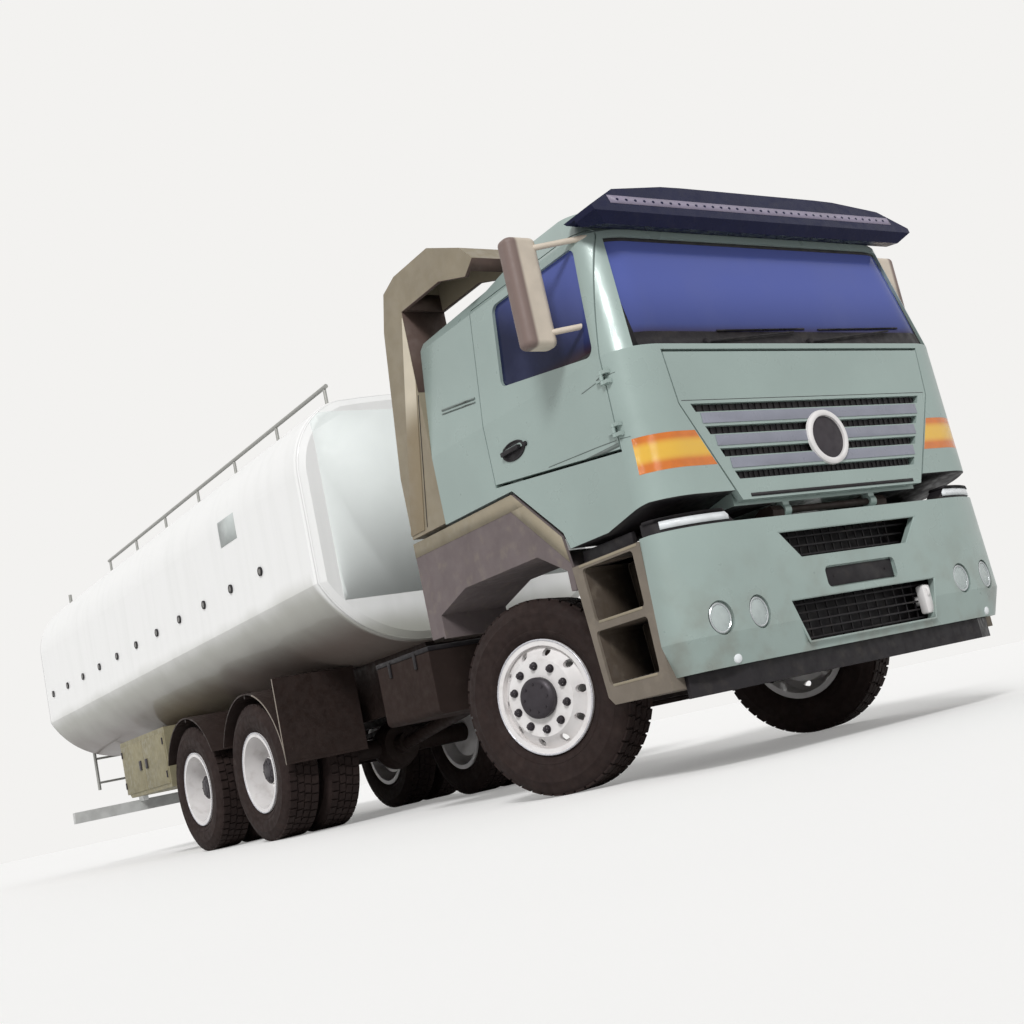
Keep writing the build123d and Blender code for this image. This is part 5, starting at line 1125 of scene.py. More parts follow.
class TRUCK_OT_visor(bpy.types.Operator):
    """Lay a pale band with a row of studs along the sun visor"""

    bl_idname = "truck.visor"
    bl_label = "Sun visor band"

    def execute(self, context):
        tree = skin_tree("sun_visor")
        low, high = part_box("sun_visor")
        middle = (low.z + high.z) / 2
        strip = zone(x=(5, AHEAD), y=(-1.04, 1.04), z=(middle - 0.028, middle + 0.022))
        skin_piece(
            "visor_band", "cab", "visor_band",
            "sun_visor", [(FORWARD, 0.3, strip)], 0.0015,
        )
        studs = bmesh.new()
        for i in range(-17, 18):
            hit = touch(tree, (AHEAD, i * VISOR_STUD_SPACING, middle - 0.003), -FORWARD)
            if hit:
                turned(studs, VISOR_STUD, facing(hit, (1, i * 0.012, 0.1)), 12)
        finish_piece("visor_studs", studs, "cab", "visor_paint")
        return {"FINISHED"}


class TRUCK_OT_cab_lines(bpy.types.Operator):
    """Lay the cab's creases and vent grooves as fine beads of painted shade, and paint shade on its
    underside with a black skin
    """

    bl_idname = "truck.cab_lines"
    bl_label = "Creases and grooves"

    def execute(self, context):
        for side, s in SIDES:
            shell = skin_tree("cab_shell")
            for body, node, tree in (
                (f"door_{side}", f"door_{side}", skin_tree(f"door_{side}")),
                ("cab", "cab_shell", shell),
            ):
                mesh = bmesh.new()
                for points in CREASES:
                    laid_line(mesh, tree, s, points, 0.0024)
                finish_piece(f"crease_{node}_{side}", mesh, body, "cab_shade")
            vents = bmesh.new()
            for radius, drop in ((0.007, 0.0), (0.005, 0.022)):
                laid_line(vents, shell, s, [(x, z - drop) for x, z in VENT_LINE], radius)
            finish_piece(f"cab_vents_{side}", vents, "cab", "cab_shade")
            # A black skin on the cab's downward faces: painted shade under the cab
            under = zone(x=(4.6, AHEAD), y=(s * 0.4, s * 1.3), z=(1.0, 1.45))
            skin_piece(
                f"cab_underside_shade_{side}", "cab", "black_trim",
                "cab_shell", [(-UP, 0.25, under)], 0.0015,
            )
        return {"FINISHED"}


class TRUCK_OT_door_handles(bpy.types.Operator):
    """Fit each door with a handle in a dish, a lock barrel, a sill strip of painted shade and a
    window seal
    """

    bl_idname = "truck.door_handles"
    bl_label = "Door handles"

    def execute(self, context):
        for side, s in SIDES:
            door = f"door_{side}"
            # The dish lies level with the skin behind the door's recess
            beside = (STEER_X + 0.25, s * OUTSIDE, HANDLE_HEIGHT)
            level = touch(skin_tree(door), beside, (0, -s, 0)).y
            placing = facing((STEER_X + 0.395, level, HANDLE_HEIGHT), (0, s, 0))
            mirrored = placing @ Matrix.Diagonal((-s, 1, 1, 1))
            handle = bmesh.new()
            turned(handle, HANDLE_DISH, placing @ Matrix.Diagonal((1, 0.48, 1, 1)), 40)
            block(handle, (-0.012, 0.004, 0.02), (0.165, 0.026, 0.012), mirrored, bevel=0.005)
            for x in (-0.085, 0.06):
                block(handle, (x, 0.004, 0.009), (0.02, 0.024, 0.02), mirrored, bevel=0.004)
            turned(handle, LOCK_BARREL, shifted(mirrored, 0.115, 0.004, 0), 18)
            finish_piece(f"door_handle_{side}", handle, door, "black_trim")
            # The sill strip in the darkened cab paint is painted shade along the door's crease
            strip = zone(y=(s * 1.19, s * 2), z=(1.552, 1.572))
            skin_piece(
                f"door_sill_{side}", door, "cab_shade",
                door, [((0, s, 0), 0.7, strip)], 0.001,
            )
            seal = zone(z=(2.02, 2.05))
            skin_piece(
                f"window_seal_{side}", door, "black_trim",
                f"door_glass_{side}", [((0, s, 0), 0.5, seal)], 0.002,
            )
        return {"FINISHED"}


class TRUCK_OT_mirrors(bpy.types.Operator):
    """Face each mirror head with a large and a small glass"""

    bl_idname = "truck.mirrors"
    bl_label = "Mirrors"

    def execute(self, context):
        for side, s in SIDES:
            node = f"mirror_{side}"
            low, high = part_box(node)
            heights = ((low.z + 0.04, low.z + 0.39), (low.z + 0.41, high.z - 0.03))
            cuts = [(-FORWARD, 0.8, zone(y=(s * 1.29, s * 1.44), z=z)) for z in heights]
            skin_piece(
                f"mirror_glass_{side}", f"door_{side}", "mirror_face",
                node, cuts, 0.0015,
            )
        return {"FINISHED"}


class TRUCK_OT_ducts(bpy.types.Operator):
    """Lay the pale rib, the joint lines and the painted shade under the hood on the air ducts"""

    bl_idname = "truck.ducts"
    bl_label = "Air ducts"

    def execute(self, context):
        for side, s in SIDES:
            across = (s * 0.8, s * 1.3)
            upright = [
                *zone(y=(s * 1.15, s * 1.3), z=(1.63, 2.86)),
                slanted((STEER_X - 0.81, 1.586), (STEER_X - 0.415, 2.83), (STEER_X, 2.2)),
                slanted((STEER_X - 0.66, 1.53), (STEER_X - 0.30, 2.83), (STEER_X - 1, 2.2)),
            ]
            skin_piece(
                f"duct_rib_{side}", "cab", "duct_stripe",
                "air_ducts", [((0, s, 0), 0.6, upright)], 0.006, 0.002,
            )
            # The hood's underside and the duct's front face behind the cab get a dark skin: painted
            # shade
            hood = [
                (-UP, 0.3, zone(y=across, z=(2.6, 3.2))),
                (FORWARD, 0.5, zone(x=(3.2, 3.62), y=across, z=(2.4, 3.0))),
            ]
            skin_piece(
                f"duct_hood_shade_{side}", "cab", "duct_shade",
                "air_ducts", hood, 0.002,
            )
            joints = bmesh.new()
            tree = skin_tree("air_ducts")
            for points in DUCT_JOINTS:
                laid_line(joints, tree, s, points, 0.0035)
            finish_piece(f"duct_joints_{side}", joints, "cab", "black_trim")
        return {"FINISHED"}


# Front guards, steps and seats

# The rim along the top and the front slope of a front mudguard's side
ARCH_RIM = 0.085
ARCH_CORNER = 0.29
ARCH_FOOT = (0.64, 1.262)
# The dark plate that closes the gap between the cab and the steps
SHADE_PLACE, SHADE_SIZE = (4.87, 1.13, 1.131), (0.4, 0.03, 0.066)
STEP_MIDDLE = 4.92
NOSING_REACH = 1.192
STEP_STUD = ((0, 0.006), (0.009, 0.006), (0.011, 0.0))
TREAD_LEVELS = (0.487, 0.8)
SEAT_PLACE = 0.56
SEAT_X = STEER_X + 0.12
SEAT_LEAN = Matrix.Rotation(math.radians(80), 4, "Y")
SEAT_PADS = (
    # name, size, place behind the seat's middle and above the floor, turn, crown, channels
    ("cushion", (0.5, 0.48, 0.115), (0.02, 0.25), Matrix(), 0.32, (-0.5, 0.5)),
    ("back", (0.44, 0.46, 0.085), (-0.215, 0.5), SEAT_LEAN, 0.35, (-0.5, 0.5)),
    ("headrest", (0.13, 0.26, 0.07), (-0.272, 0.785), SEAT_LEAN, 0.3, ()),
)


class TRUCK_OT_front_guards(bpy.types.Operator):
    """Skin the front mudguards' outer rims in pale plastic, and paint shade into the gap over the
    steps with a dark plate
    """

    bl_idname = "truck.front_guards"
    bl_label = "Front mudguards"

    def execute(self, context):
        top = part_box("front_mudguards")[1].z
        corner = Vector((STEER_X + ARCH_CORNER, top))
        foot = Vector((STEER_X + ARCH_FOOT[0], ARCH_FOOT[1]))
        run = (foot - corner).normalized()
        inset = ARCH_RIM * Vector((run.y, -run.x))
        slope = slanted(corner + inset, foot + inset, (STEER_X + 2, top))
        for side, s in SIDES:
            outer = zone(y=(s * 1.19, s * 1.3))
            cuts = [
                ((0, s, 0), 0.7, [*outer, *zone(z=(top - ARCH_RIM, top + 1))]),
                ((0, s, 0), 0.7, [*outer, *zone(z=(0.9, top - ARCH_RIM)), slope]),
            ]
            skin_piece(
                f"arch_rim_{side}", "chassis", "guard_paint",
                "front_mudguards", cuts, 0.0018,
            )
            shade = bmesh.new()
            x, y, z = SHADE_PLACE
            block(shade, (x, s * y, z), SHADE_SIZE, bevel=0.006)
            finish_piece(f"step_shade_{side}", shade, "chassis", "black_trim")
        return {"FINISHED"}


class TRUCK_OT_steps(bpy.types.Operator):
    """Line the step wells with dark plastic, studded treads and pale nosings"""

    bl_idname = "truck.steps"
    bl_label = "Steps"

    def execute(self, context):
        for side, s in SIDES:
            well = zone(x=(4.7, 5.13), y=(s * 0.91, s * 1.185), z=(0.45, 1.07))
            cuts = [((0, s, 0), 0.7, zone(y=(s * 0.8, s * 1.1)))]
            cuts += [(toward, 0.7, well) for toward in (FORWARD, -FORWARD, -UP)]
            skin_piece(
                f"step_lining_{side}", "chassis", "step_tread",
                "step_wells", cuts, 0.002,
            )
            treads = bmesh.new()
            floors = zone(x=(4.72, 5.12), y=(s * 0.91, s * 1.18), z=(0.45, 0.9))
            panel_skin(treads, "step_wells", UP, 0.9, floors)
            for height in TREAD_LEVELS:
                for i in range(9):
                    for j in range(5):
                        spot = (4.765 + i * 0.038, s * (0.945 + j * 0.052), height + 0.003)
                        turned(treads, STEP_STUD, Matrix.Translation(spot), 10)
            finish_piece(
                f"step_treads_{side}", treads, "chassis", "black_trim",
                thickness=0.0015,
            )
            nosing = bmesh.new()
            for height, length in ((0.484, 0.34), (0.797, 0.34), (STEP_TOP - 0.009, 0.46)):
                place = (STEP_MIDDLE, s * NOSING_REACH, height)
                block(nosing, place, (length, 0.022, 0.014), bevel=0.004)
            finish_piece(f"step_nosings_{side}", nosing, "chassis", "guard_paint")
        return {"FINISHED"}


def cushion(mesh, size, placing, crown, channels):
    """A crowned, grid-cut pad whose sides pull in between its corners."""
    bmesh.ops.create_cube(mesh, size=2)
    bmesh.ops.subdivide_edges(mesh, edges=mesh.edges[:], cuts=13, use_grid_fill=True)
    for vert in mesh.verts:
        x, y, z = vert.co
        fullness = (1 - abs(x) ** 3.5) * (1 - abs(y) ** 3.5)
        groove = sum(math.exp(-(((y - channel) / 0.05) ** 2)) for channel in channels)
        corner = max(abs(x), abs(y))
        x *= 1 - 0.03 * (1 - y * y) - 0.05 * z * z * corner
        y *= 1 - 0.03 * (1 - x * x) - 0.05 * z * z * corner
        top = z + (crown - 0.16 * groove) * fullness * max(0.0, z)
        vert.co = placing @ Vector((x * size[0] / 2, y * size[1] / 2, top * size[2] / 2))


class TRUCK_OT_seats(bpy.types.Operator):
    """Upholster two suspended seats with padded cushions, backs, headrests and bases"""

    bl_idname = "truck.seats"
    bl_label = "Seats"

    def execute(self, context):
        for side, s in SIDES:
            centre = Matrix.Translation((SEAT_X, s * SEAT_PLACE, SEAT_FLOOR))
            base = bmesh.new()
            block(base, (0, 0, 0.02), (0.38, 0.38, 0.036), centre, bevel=0.006)
            for i in range(5):
                width = 0.32 - 0.02 * (i % 2)
                place = (0, 0, 0.055 + 0.026 * i)
                block(base, place, (width, width, 0.026), centre, bevel=0.006)
            block(base, (0.01, 0, 0.18), (0.44, 0.42, 0.022), centre, bevel=0.005)
            lever = centre @ Vector((-0.16, -s * 0.222, 0.23))
            rod(base, lever, centre @ Vector((-0.2, -s * 0.222, 0.42)), 0.012, 12)
            for y in (-0.075, 0.075):
                stem = centre @ Vector((-0.275, y, 0.7))
                rod(base, stem, centre @ Vector((-0.28, y, 0.76)), 0.008, 10)
            finish_piece(
                f"seat_base_{side}", base, "cab", "cabin_plastic", ("seats",)
            )
            for name, size, (back, rise), turn, crown, channels in SEAT_PADS:
                pad = bmesh.new()
                cushion(pad, size, shifted(centre, back, 0, rise) @ turn, crown, channels)
                piece = finish_piece(
                    f"seat_{name}_{side}", pad, "cab", "seat_fabric", ("seats",),
                    rounds=1,
                )
        return {"FINISHED"}


# Tank, frame and rear

SIGN = zone(x=(0.37, 0.7), z=(2.26, 2.46))
MARKER_COUNT = 11
MARKER_LENS = (
    (0, 0.0135), (0.014, 0.013), (0.022, 0.0118), (0.026, 0.009), (0.026, 0.002), (0, 0.002),
)
LID_VALVE = ((0, 0.03), (0.02, 0.03), (0.032, 0.022), (0.034, 0.008), (0.05, 0.007), (0.052, 0))
CLAMP_COUNT = 6
CLAMP_NUT = ((0, 0.028), (0.01, 0.028), (0.012, 0.02), (0.012, 0.004), (0, 0.004))
GRATING_BARS = 58
FUEL_CAP = (
    (0, 0.06), (0.03, 0.06), (0.042, 0.055), (0.046, 0.035), (0.04, 0.03), (0.038, -0.05),
    (0, -0.05),
)
TAIL_DIVIDERS = (0.745, 0.84, 0.94, 1.02, 1.112)
COVER_MIDDLE = 4.25
COVER_BOLT = ((0, 0.046), (0.009, 0.046), (0.009, 0.03))
FAN_HEIGHT = 0.86
FAN_HUB = ((0, 0.03), (0.05, 0.03), (0.06, 0.02), (0.06, -0.02), (0, -0.02))
FAN_BLADES = 9


def keep_outer(mesh, x):
    """Drop a hollow node's inner faces and end faces from a band round the tank."""
    centre = Vector((x, 0, (TANK_LOW.z + TANK_HIGH.z) / 2))
    inner = [
        face
        for face in mesh.faces
        if face.normal.dot(face.calc_center_median() - centre) <= 0 or abs(face.normal.x) > 0.8
    ]
    bmesh.ops.delete(mesh, geom=inner, context="FACES")


class TRUCK_OT_tank_trim(bpy.types.Operator):
    """Fit the tank's front panel of painted shade, end rims, blank signs and marker lenses"""

    bl_idname = "truck.tank_trim"
    bl_label = "Tank trim"

    def execute(self, context):
        # A slightly darker, bluish panel on the tank's front end: painted shade
        end = zone(x=(1, AHEAD), y=(-1.06, 1.06), z=(1.5, 2.84))
        skin_piece(
            "tank_front_shade_panel", "chassis", "tank_panel",
            "tank_shell", [(FORWARD, 0.5, end)], 0.002,
        )
        for name, x_low, x_high, finish, proud in (
            ("tank_rear_rim", TANK_LOW.x, TANK_LOW.x + 0.05, "tank_trim", 0.004),
            ("tank_front_rim", TANK_HIGH.x - 0.045, TANK_HIGH.x - 0.012, "tank_paint", 0.003),
        ):
            rim = bmesh.new()
            panel_skin(rim, "tank_shell", UP, ANY_WAY, zone(x=(x_low, x_high)))
            keep_outer(rim, (x_low + x_high) / 2)
            finish_piece(name, rim, "chassis", finish, thickness=proud)
        low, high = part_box("side_markers")
        first, last = high.x - 0.034, low.x + 0.034
        for side, s in SIDES:
            sign = [*SIGN, *zone(y=(s, s * 2))]
            skin_piece(
                f"blank_sign_{side}", "chassis", "sign_plate",
                "tank_shell", [((0, s, 0), 0.5, sign)], 0.002,
            )
            lenses = bmesh.new()
            for i in range(MARKER_COUNT):
                x = first + (last - first) * i / (MARKER_COUNT - 1)
                spot = (x, s * (TANK_HIGH.y + 0.0005), (low.z + high.z) / 2)
                turned(lenses, MARKER_LENS, facing(spot, (0, s, 0)), 22)
            finish_piece(f"marker_lenses_{side}", lenses, "chassis", "marker_lens")
        return {"FINISHED"}


class TRUCK_OT_lids(bpy.types.Operator):
    """Fit each manhole lid with a raised ring, clamps, a vent valve and a grip"""

    bl_idname = "truck.lids"
    bl_label = "Manhole lids"

    def execute(self, context):
        for number in (1, 2, 3):
            body = f"manhole_lid_{number}"
            low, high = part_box(body)
            radius = (high.y - low.y) / 2
            top = Matrix.Translation((low.x + radius, 0, high.z))
            sunk = shifted(top, 0, 0, -0.001)
            raised = (
                (radius - 0.05, 0), (radius - 0.05, 0.008), (radius - 0.035, 0.011),
                (radius - 0.02, 0.008), (radius - 0.02, 0),
            )
            ring = bmesh.new()
            turned(ring, raised, sunk, 48, closed=True)
            turned(ring, LID_VALVE, sunk, 32)
            for y in (-0.05, 0.05):
                foot = top @ Vector((-0.12, y, 0))
                rod(ring, foot, foot + 0.035 * UP, 0.006, 10)
            grip = top @ Vector((-0.12, -0.056, 0.035))
            rod(ring, grip, grip + 0.112 * LEFT, 0.007, 10)
            finish_piece(f"lid_fittings_{number}", ring, body, "bright_metal")
            clamps = bmesh.new()
            for i in range(CLAMP_COUNT):
                spot = top @ Matrix.Rotation(math.tau * (i + 0.5) / CLAMP_COUNT, 4, "Z")
                place = (radius - 0.035, 0, 0.012)
                block(clamps, place, (0.06, 0.022, 0.014), spot, bevel=0.003)
                turned(clamps, CLAMP_NUT, shifted(spot, radius - 0.025, 0, 0), 6)
            finish_piece(f"lid_clamps_{number}", clamps, body, "dark_metal")
        return {"FINISHED"}


class TRUCK_OT_walkway(bpy.types.Operator):
    """Lay a grating on each side of the manholes along the tank's crown"""

    bl_idname = "truck.walkway"
    bl_label = "Walkway"

    def execute(self, context):
        low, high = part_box("guard_rail")
        back, front = low.x + 0.1, high.x - 0.1
        top = TANK_HIGH.z
        grating = bmesh.new()
        for s in (-1, 1):
            for i in range(5):
                y = s * (0.285 + 0.022 * i)
                rod(grating, (back, y, top + 0.012), (front, y, top + 0.012), 0.003, 6)
            for i in range(GRATING_BARS + 1):
                x = back + (front - back) * i / GRATING_BARS
                block(grating, (x, s * 0.33, top + 0.004), (0.006, 0.11, 0.018))
        finish_piece("walkway_grating", grating, "chassis", "rail_metal")
        return {"FINISHED"}


class TRUCK_OT_rear_guards(bpy.types.Operator):
    """Skin the rear mudguards' front side plates"""

    bl_idname = "truck.rear_guards"
    bl_label = "Rear mudguards"

    def execute(self, context):
        for side, s in SIDES:
            plate = zone(x=(0.45, 1), y=(s * 1.2, s * 1.3))
            skin_piece(
                f"rear_guard_skin_{side}", "chassis", "rear_guard",
                "rear_mudguards", [((0, s, 0), 0.7, plate)], 0.002,
            )
        return {"FINISHED"}


class TRUCK_OT_tail(bpy.types.Operator):
    """Divide the tail lamps into fields, and fit the blank rear plate"""

    bl_idname = "truck.tail"
    bl_label = "Tail"

    def execute(self, context):
        low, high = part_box("tail_lamps")
        back, middle, tall = low.x, (low.z + high.z) / 2, high.z - low.z
        for side, s in SIDES:
            bezel = bmesh.new()
            for z in (low.z - 0.003, high.z + 0.003):
                block(bezel, (back + 0.004, s * 0.93, z), (0.01, 0.38, 0.006), bevel=0.0015)
            for y in TAIL_DIVIDERS:
                block(bezel, (back + 0.004, s * y, middle), (0.012, 0.006, tall), bevel=0.0015)
            finish_piece(f"tail_bezel_{side}", bezel, "chassis", "black_trim")
            for name, finish, inner, outer in (
                ("turn", "amber_rear", 1.023, 1.109),
                ("reverse", "lamp", 0.75, 0.837),
            ):
                cover = bmesh.new()
                place = (back + 0.0035, s * (inner + outer) / 2, middle)
                block(cover, place, (0.008, outer - inner, tall - 0.004), bevel=0.0025)
                finish_piece(f"tail_{name}_{side}", cover, "chassis", finish)
        plate = bmesh.new()
        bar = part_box("underrun_bar")[0].x
        block(plate, (bar - 0.003, 0, 0.565), (0.006, 0.52, 0.11), bevel=0.002)
        finish_piece("rear_blank_plate", plate, "chassis", "sign_plate")
        return {"FINISHED"}


class TRUCK_OT_chassis_boxes(bpy.types.Operator):
    """Strap and cap the fuel tank, and panel the battery box and the rear cabinet"""

    bl_idname = "truck.chassis_boxes"
    bl_label = "Chassis boxes"

    def execute(self, context):
        self.fuel_tank(*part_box("fuel_tank"))
        self.battery_box(*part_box("battery_box"))
        self.rear_cabinet(*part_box("rear_cabinet"))
        return {"FINISHED"}

    def fuel_tank(self, low, high):
        """Two straps round the tank and its filler cap."""
        bands = [
            zone(x=(x - 0.025, x + 0.025), y=(0.43, 2)) for x in (low.x + 0.2, high.x - 0.2)
        ]
        skin_piece(
            "fuel_straps", "chassis", "dark_metal",
            "fuel_tank", [(LEFT, ANY_WAY, band) for band in bands], 0.004,
        )
        cap = bmesh.new()
        place = facing((high.x - 0.38, high.y - 0.1, high.z - 0.06), (0, 0.7, 0.75))
        turned(cap, FUEL_CAP, place, 28)
        finish_piece("fuel_cap", cap, "chassis", "black_trim")

    def battery_box(self, low, high):
        """A ribbed lid with two catches."""
        lid = bmesh.new()
        middle = (low + high) / 2
        long, wide, _ = high - low
        block(
            lid, (middle.x, middle.y, high.z - 0.01), (long + 0.012, wide + 0.01, 0.03),
            bevel=0.006,
        )
        for i in range(4):
            rib = (low.x + 0.12 + i * 0.155, middle.y, high.z + 0.006)
            block(lid, rib, (0.05, wide - 0.1, 0.008), bevel=0.003)
        for x in (low.x + 0.18, high.x - 0.18):
            block(lid, (x, low.y - 0.006, high.z - 0.06), (0.03, 0.012, 0.1), bevel=0.004)
        finish_piece("battery_lid", lid, "chassis", "black_trim")

    def rear_cabinet(self, low, high):
        """Two doors with latches and hinges on its right side."""
        middle = (low + high) / 2
        doors = bmesh.new()
        for x_from, x_to in ((low.x + 0.03, middle.x - 0.006), (middle.x + 0.006, high.x - 0.03)):
            place = ((x_from + x_to) / 2, low.y - 0.001, middle.z - 0.005)
            block(doors, place, (x_to - x_from, 0.014, high.z - low.z - 0.08), bevel=0.004)
        finish_piece("cabinet_doors", doors, "chassis", "cabinet_paint")
        fittings = bmesh.new()
        for x in (middle.x - 0.09, middle.x + 0.09):
            block(fittings, (x, low.y - 0.014, middle.z), (0.05, 0.014, 0.09), bevel=0.005)
        for x in (low.x + 0.05, high.x - 0.05):
            for z in (low.z + 0.12, high.z - 0.12):
                pin = Vector((x, low.y - 0.012, z))
                rod(fittings, pin - 0.03 * UP, pin + 0.03 * UP, 0.008, 12)
        finish_piece("cabinet_fittings", fittings, "chassis", "dark_metal")


class TRUCK_OT_engine(bpy.types.Operator):
    """Dress the engine with a bolted rocker cover and a cooling fan"""

    bl_idname = "truck.engine"
    bl_label = "Engine"

    def execute(self, context):
        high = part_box("engine_block")[1]
        cover = bmesh.new()
        block(cover, (COVER_MIDDLE, 0, high.z + 0.012), (0.95, 0.3, 0.05), bevel=0.014)
        for i in range(-3, 4):
            for y in (-0.135, 0.135):
                spot = Matrix.Translation((COVER_MIDDLE + 0.14 * i, y, high.z))
                turned(cover, COVER_BOLT, spot, 6)
        finish_piece("rocker_cover", cover, "chassis", "dark_metal")
        fan = bmesh.new()
        place = facing((high.x + 0.012, 0, FAN_HEIGHT), FORWARD)
        turned(fan, FAN_HUB, place, 24)
        pitch = Matrix.Rotation(math.radians(28), 4, "X")
        for i in range(FAN_BLADES):
            turn = place @ Matrix.Rotation(math.tau * i / FAN_BLADES, 4, "Z")
            spot = shifted(turn, 0.12, 0, 0.012) @ pitch
            block(fan, (0, 0, 0), (0.15, 0.07, 0.006), spot, bevel=0.002)
        finish_piece("cooling_fan", fan, "chassis", "black_trim")
        return {"FINISHED"}


# Finishes and studio


class TRUCK_OT_finishes(bpy.types.Operator):
    """Make every finish and put it on the carried-over parts"""

    bl_idname = "truck.finishes"
    bl_label = "Finishes"

    def execute(self, context):
        for name, (maker, *settings) in finish_recipes().items():
            maker(f"{name}_finish", *settings)
        for name, nodes in NODE_FINISHES.items():
            for node in nodes:
                data = frame["nodes"][node].data
                data.materials.clear()
                data.materials.append(bpy.data.materials[f"{name}_finish"])
        dressed = {node for nodes in NODE_FINISHES.values() for node in nodes}
        plain = set(frame["nodes"]) - dressed
        if plain:
            raise RuntimeError(f"without a finish: {sorted(plain)}")
        return {"FINISHED"}


CAMERA_PLACE = Vector((STEER_X + 5.765, -5.119, 0.293))
# Degrees: direction from +X, rise, and turn about the view
CAMERA_YAW, CAMERA_PITCH, CAMERA_ROLL = 144.51, 10.09, -12.30
CAMERA_LENS = 45.7
SENSOR_WIDTH = 36
VIEW_LIMIT = 500
BACKGROUND = srgb(243, 242, 240)
WORLD_LIGHT = 0.45
SUN_DIRECTION = Vector((0.62, -0.62, 0.7))
SUN_STRENGTH = 1.9
SUN_SPREAD = 14
FLOOR_REACH = 100
FLOOR_COLOUR = (0.8, 0.797, 0.79)
FLOOR_GLOW = 0.25


def floor_finish():
    """A pale floor that meets the backdrop's colour and keeps the shadow."""
    finish = Finish("floor", FLOOR_COLOUR, 0.9)
    finish.paint(finish.mottled(FLOOR_COLOUR, 0.004, 0.6))
    finish.raised(finish.noise(60, 3), 0.02, 0.001)
    rays = finish.tree.nodes.new("ShaderNodeLightPath")
    glow = finish.sum(rays.outputs["Is Camera Ray"], FLOOR_GLOW, "MULTIPLY")
    finish.shader.inputs["Emission Color"].default_value = (*BACKGROUND, 1)
    finish.join(finish.shader, glow, "Emission Strength")
    return finish.material


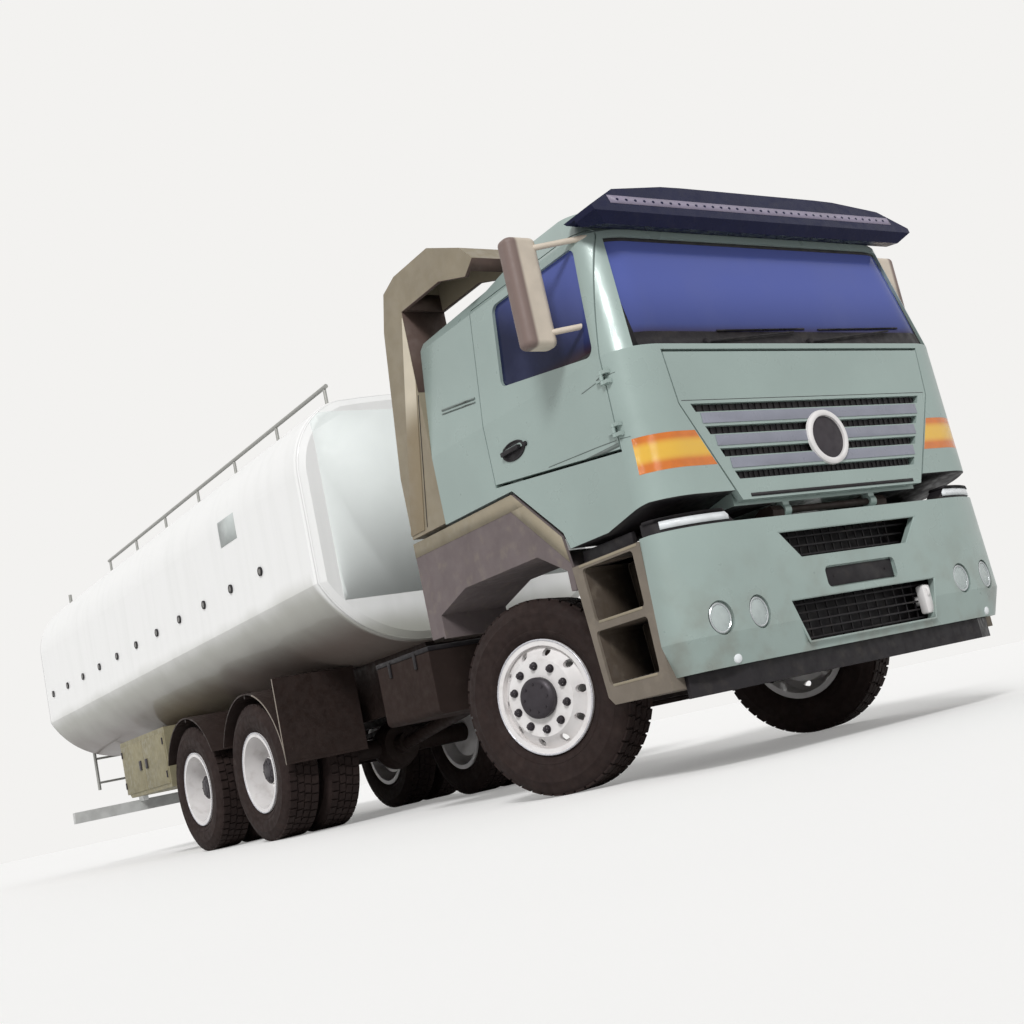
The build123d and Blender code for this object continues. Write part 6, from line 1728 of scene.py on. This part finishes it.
class TRUCK_OT_studio(bpy.types.Operator):
    """Set up the pale floor, the soft light and the camera"""

    bl_idname = "truck.studio"
    bl_label = "Studio"

    def execute(self, context):
        scene = context.scene
        self.camera(scene)
        self.floor(scene)
        self.world(scene)
        self.sun(scene)
        scene.view_settings.view_transform = "Standard"
        return {"FINISHED"}

    def camera(self, scene):
        """Stand the camera where the photo was taken from."""
        yaw, pitch, roll = (math.radians(v) for v in (CAMERA_YAW, CAMERA_PITCH, CAMERA_ROLL))
        ahead = Vector((
            math.cos(pitch) * math.cos(yaw), math.cos(pitch) * math.sin(yaw), math.sin(pitch)
        ))
        right = ahead.cross(UP).normalized()
        rise = right.cross(ahead)
        across = math.cos(roll) * right + math.sin(roll) * rise
        top = math.cos(roll) * rise - math.sin(roll) * right
        data = bpy.data.cameras.new("camera")
        data.lens = CAMERA_LENS
        data.sensor_width = SENSOR_WIDTH
        data.clip_end = VIEW_LIMIT
        camera = bpy.data.objects.new("camera", data)
        turn = Matrix((across, top, -ahead)).transposed().to_4x4()
        camera.matrix_world = Matrix.Translation(CAMERA_PLACE) @ turn
        scene.collection.objects.link(camera)
        scene.camera = camera

    def floor(self, scene):
        """Lay a wide floor under the wheels."""
        mesh = bmesh.new()
        bmesh.ops.create_grid(mesh, x_segments=1, y_segments=1, size=FLOOR_REACH)
        data = bpy.data.meshes.new("floor")
        mesh.to_mesh(data)
        mesh.free()
        floor = bpy.data.objects.new("floor", data)
        scene.collection.objects.link(floor)
        data.materials.append(floor_finish())

    def world(self, scene):
        """Light the truck with a dim white sky that the camera and mirrors see brighter."""
        world = bpy.data.worlds.new("studio")
        world.use_nodes = True
        scene.world = world
        tree = world.node_tree
        rays = tree.nodes.new("ShaderNodeLightPath")
        light = tree.nodes["Background"]
        light.inputs["Color"].default_value = (1, 1, 1, 1)
        light.inputs["Strength"].default_value = WORLD_LIGHT
        seen = tree.nodes.new("ShaderNodeBackground")
        seen.inputs["Color"].default_value = (*BACKGROUND, 1)
        seen.inputs["Strength"].default_value = 1.0
        shown = rays.outputs["Is Camera Ray"]
        for ray in ("Is Glossy Ray", "Is Transmission Ray"):
            both = tree.nodes.new("ShaderNodeMath")
            both.operation = "MAXIMUM"
            tree.links.new(shown, both.inputs[0])
            tree.links.new(rays.outputs[ray], both.inputs[1])
            shown = both.outputs[0]
        choice = tree.nodes.new("ShaderNodeMixShader")
        tree.links.new(shown, choice.inputs[0])
        tree.links.new(light.outputs[0], choice.inputs[1])
        tree.links.new(seen.outputs[0], choice.inputs[2])
        tree.links.new(choice.outputs[0], tree.nodes["World Output"].inputs["Surface"])

    def sun(self, scene):
        """One soft sun, high at the front right."""
        data = bpy.data.lights.new("key", "SUN")
        data.energy = SUN_STRENGTH
        data.angle = math.radians(SUN_SPREAD)
        sun = bpy.data.objects.new("key", data)
        sun.matrix_world = SUN_DIRECTION.to_track_quat("Z", "Y").to_matrix().to_4x4()
        scene.collection.objects.link(sun)


OPERATORS = (
    TRUCK_OT_finishes, TRUCK_OT_tyres, TRUCK_OT_wheel_nuts, TRUCK_OT_headlamps, TRUCK_OT_fog_lamps,
    TRUCK_OT_bumper_trim, TRUCK_OT_grille, TRUCK_OT_windscreen, TRUCK_OT_visor, TRUCK_OT_cab_lines,
    TRUCK_OT_door_handles, TRUCK_OT_mirrors, TRUCK_OT_ducts, TRUCK_OT_front_guards, TRUCK_OT_steps,
    TRUCK_OT_seats, TRUCK_OT_tank_trim, TRUCK_OT_lids, TRUCK_OT_walkway, TRUCK_OT_rear_guards,
    TRUCK_OT_tail, TRUCK_OT_chassis_boxes, TRUCK_OT_engine, TRUCK_OT_studio,
)


class TRUCK_PT_dressing(bpy.types.Panel):
    """The truck's settings and its pieces, in the order they are made"""

    bl_idname = "TRUCK_PT_dressing"
    bl_label = "Tanker truck"
    bl_space_type = "VIEW_3D"
    bl_region_type = "UI"
    bl_category = "Truck"

    def draw(self, context):
        for settings in (context.scene.truck_colours, context.scene.truck_sizes):
            column = self.layout.column()
            for name in settings.__annotations__:
                column.prop(settings, name)
        for operator in OPERATORS:
            self.layout.operator(operator.bl_idname, text=operator.bl_label)


CLASSES = (TruckColours, TruckSizes, *OPERATORS, TRUCK_PT_dressing)


def register():
    """Make the settings, operators and panel known to Blender."""
    for cls in CLASSES:
        bpy.utils.register_class(cls)
    bpy.types.Scene.truck_colours = bpy.props.PointerProperty(type=TruckColours)
    bpy.types.Scene.truck_sizes = bpy.props.PointerProperty(type=TruckSizes)


def unregister():
    """Take them away again."""
    del bpy.types.Scene.truck_sizes
    del bpy.types.Scene.truck_colours
    for cls in reversed(CLASSES):
        bpy.utils.unregister_class(cls)


def main():
    """Dress the truck."""
    register()
    for operator in OPERATORS:
        group, name = operator.bl_idname.split(".")
        getattr(getattr(bpy.ops, group), name)()


if __name__ == "__main__":
    main()
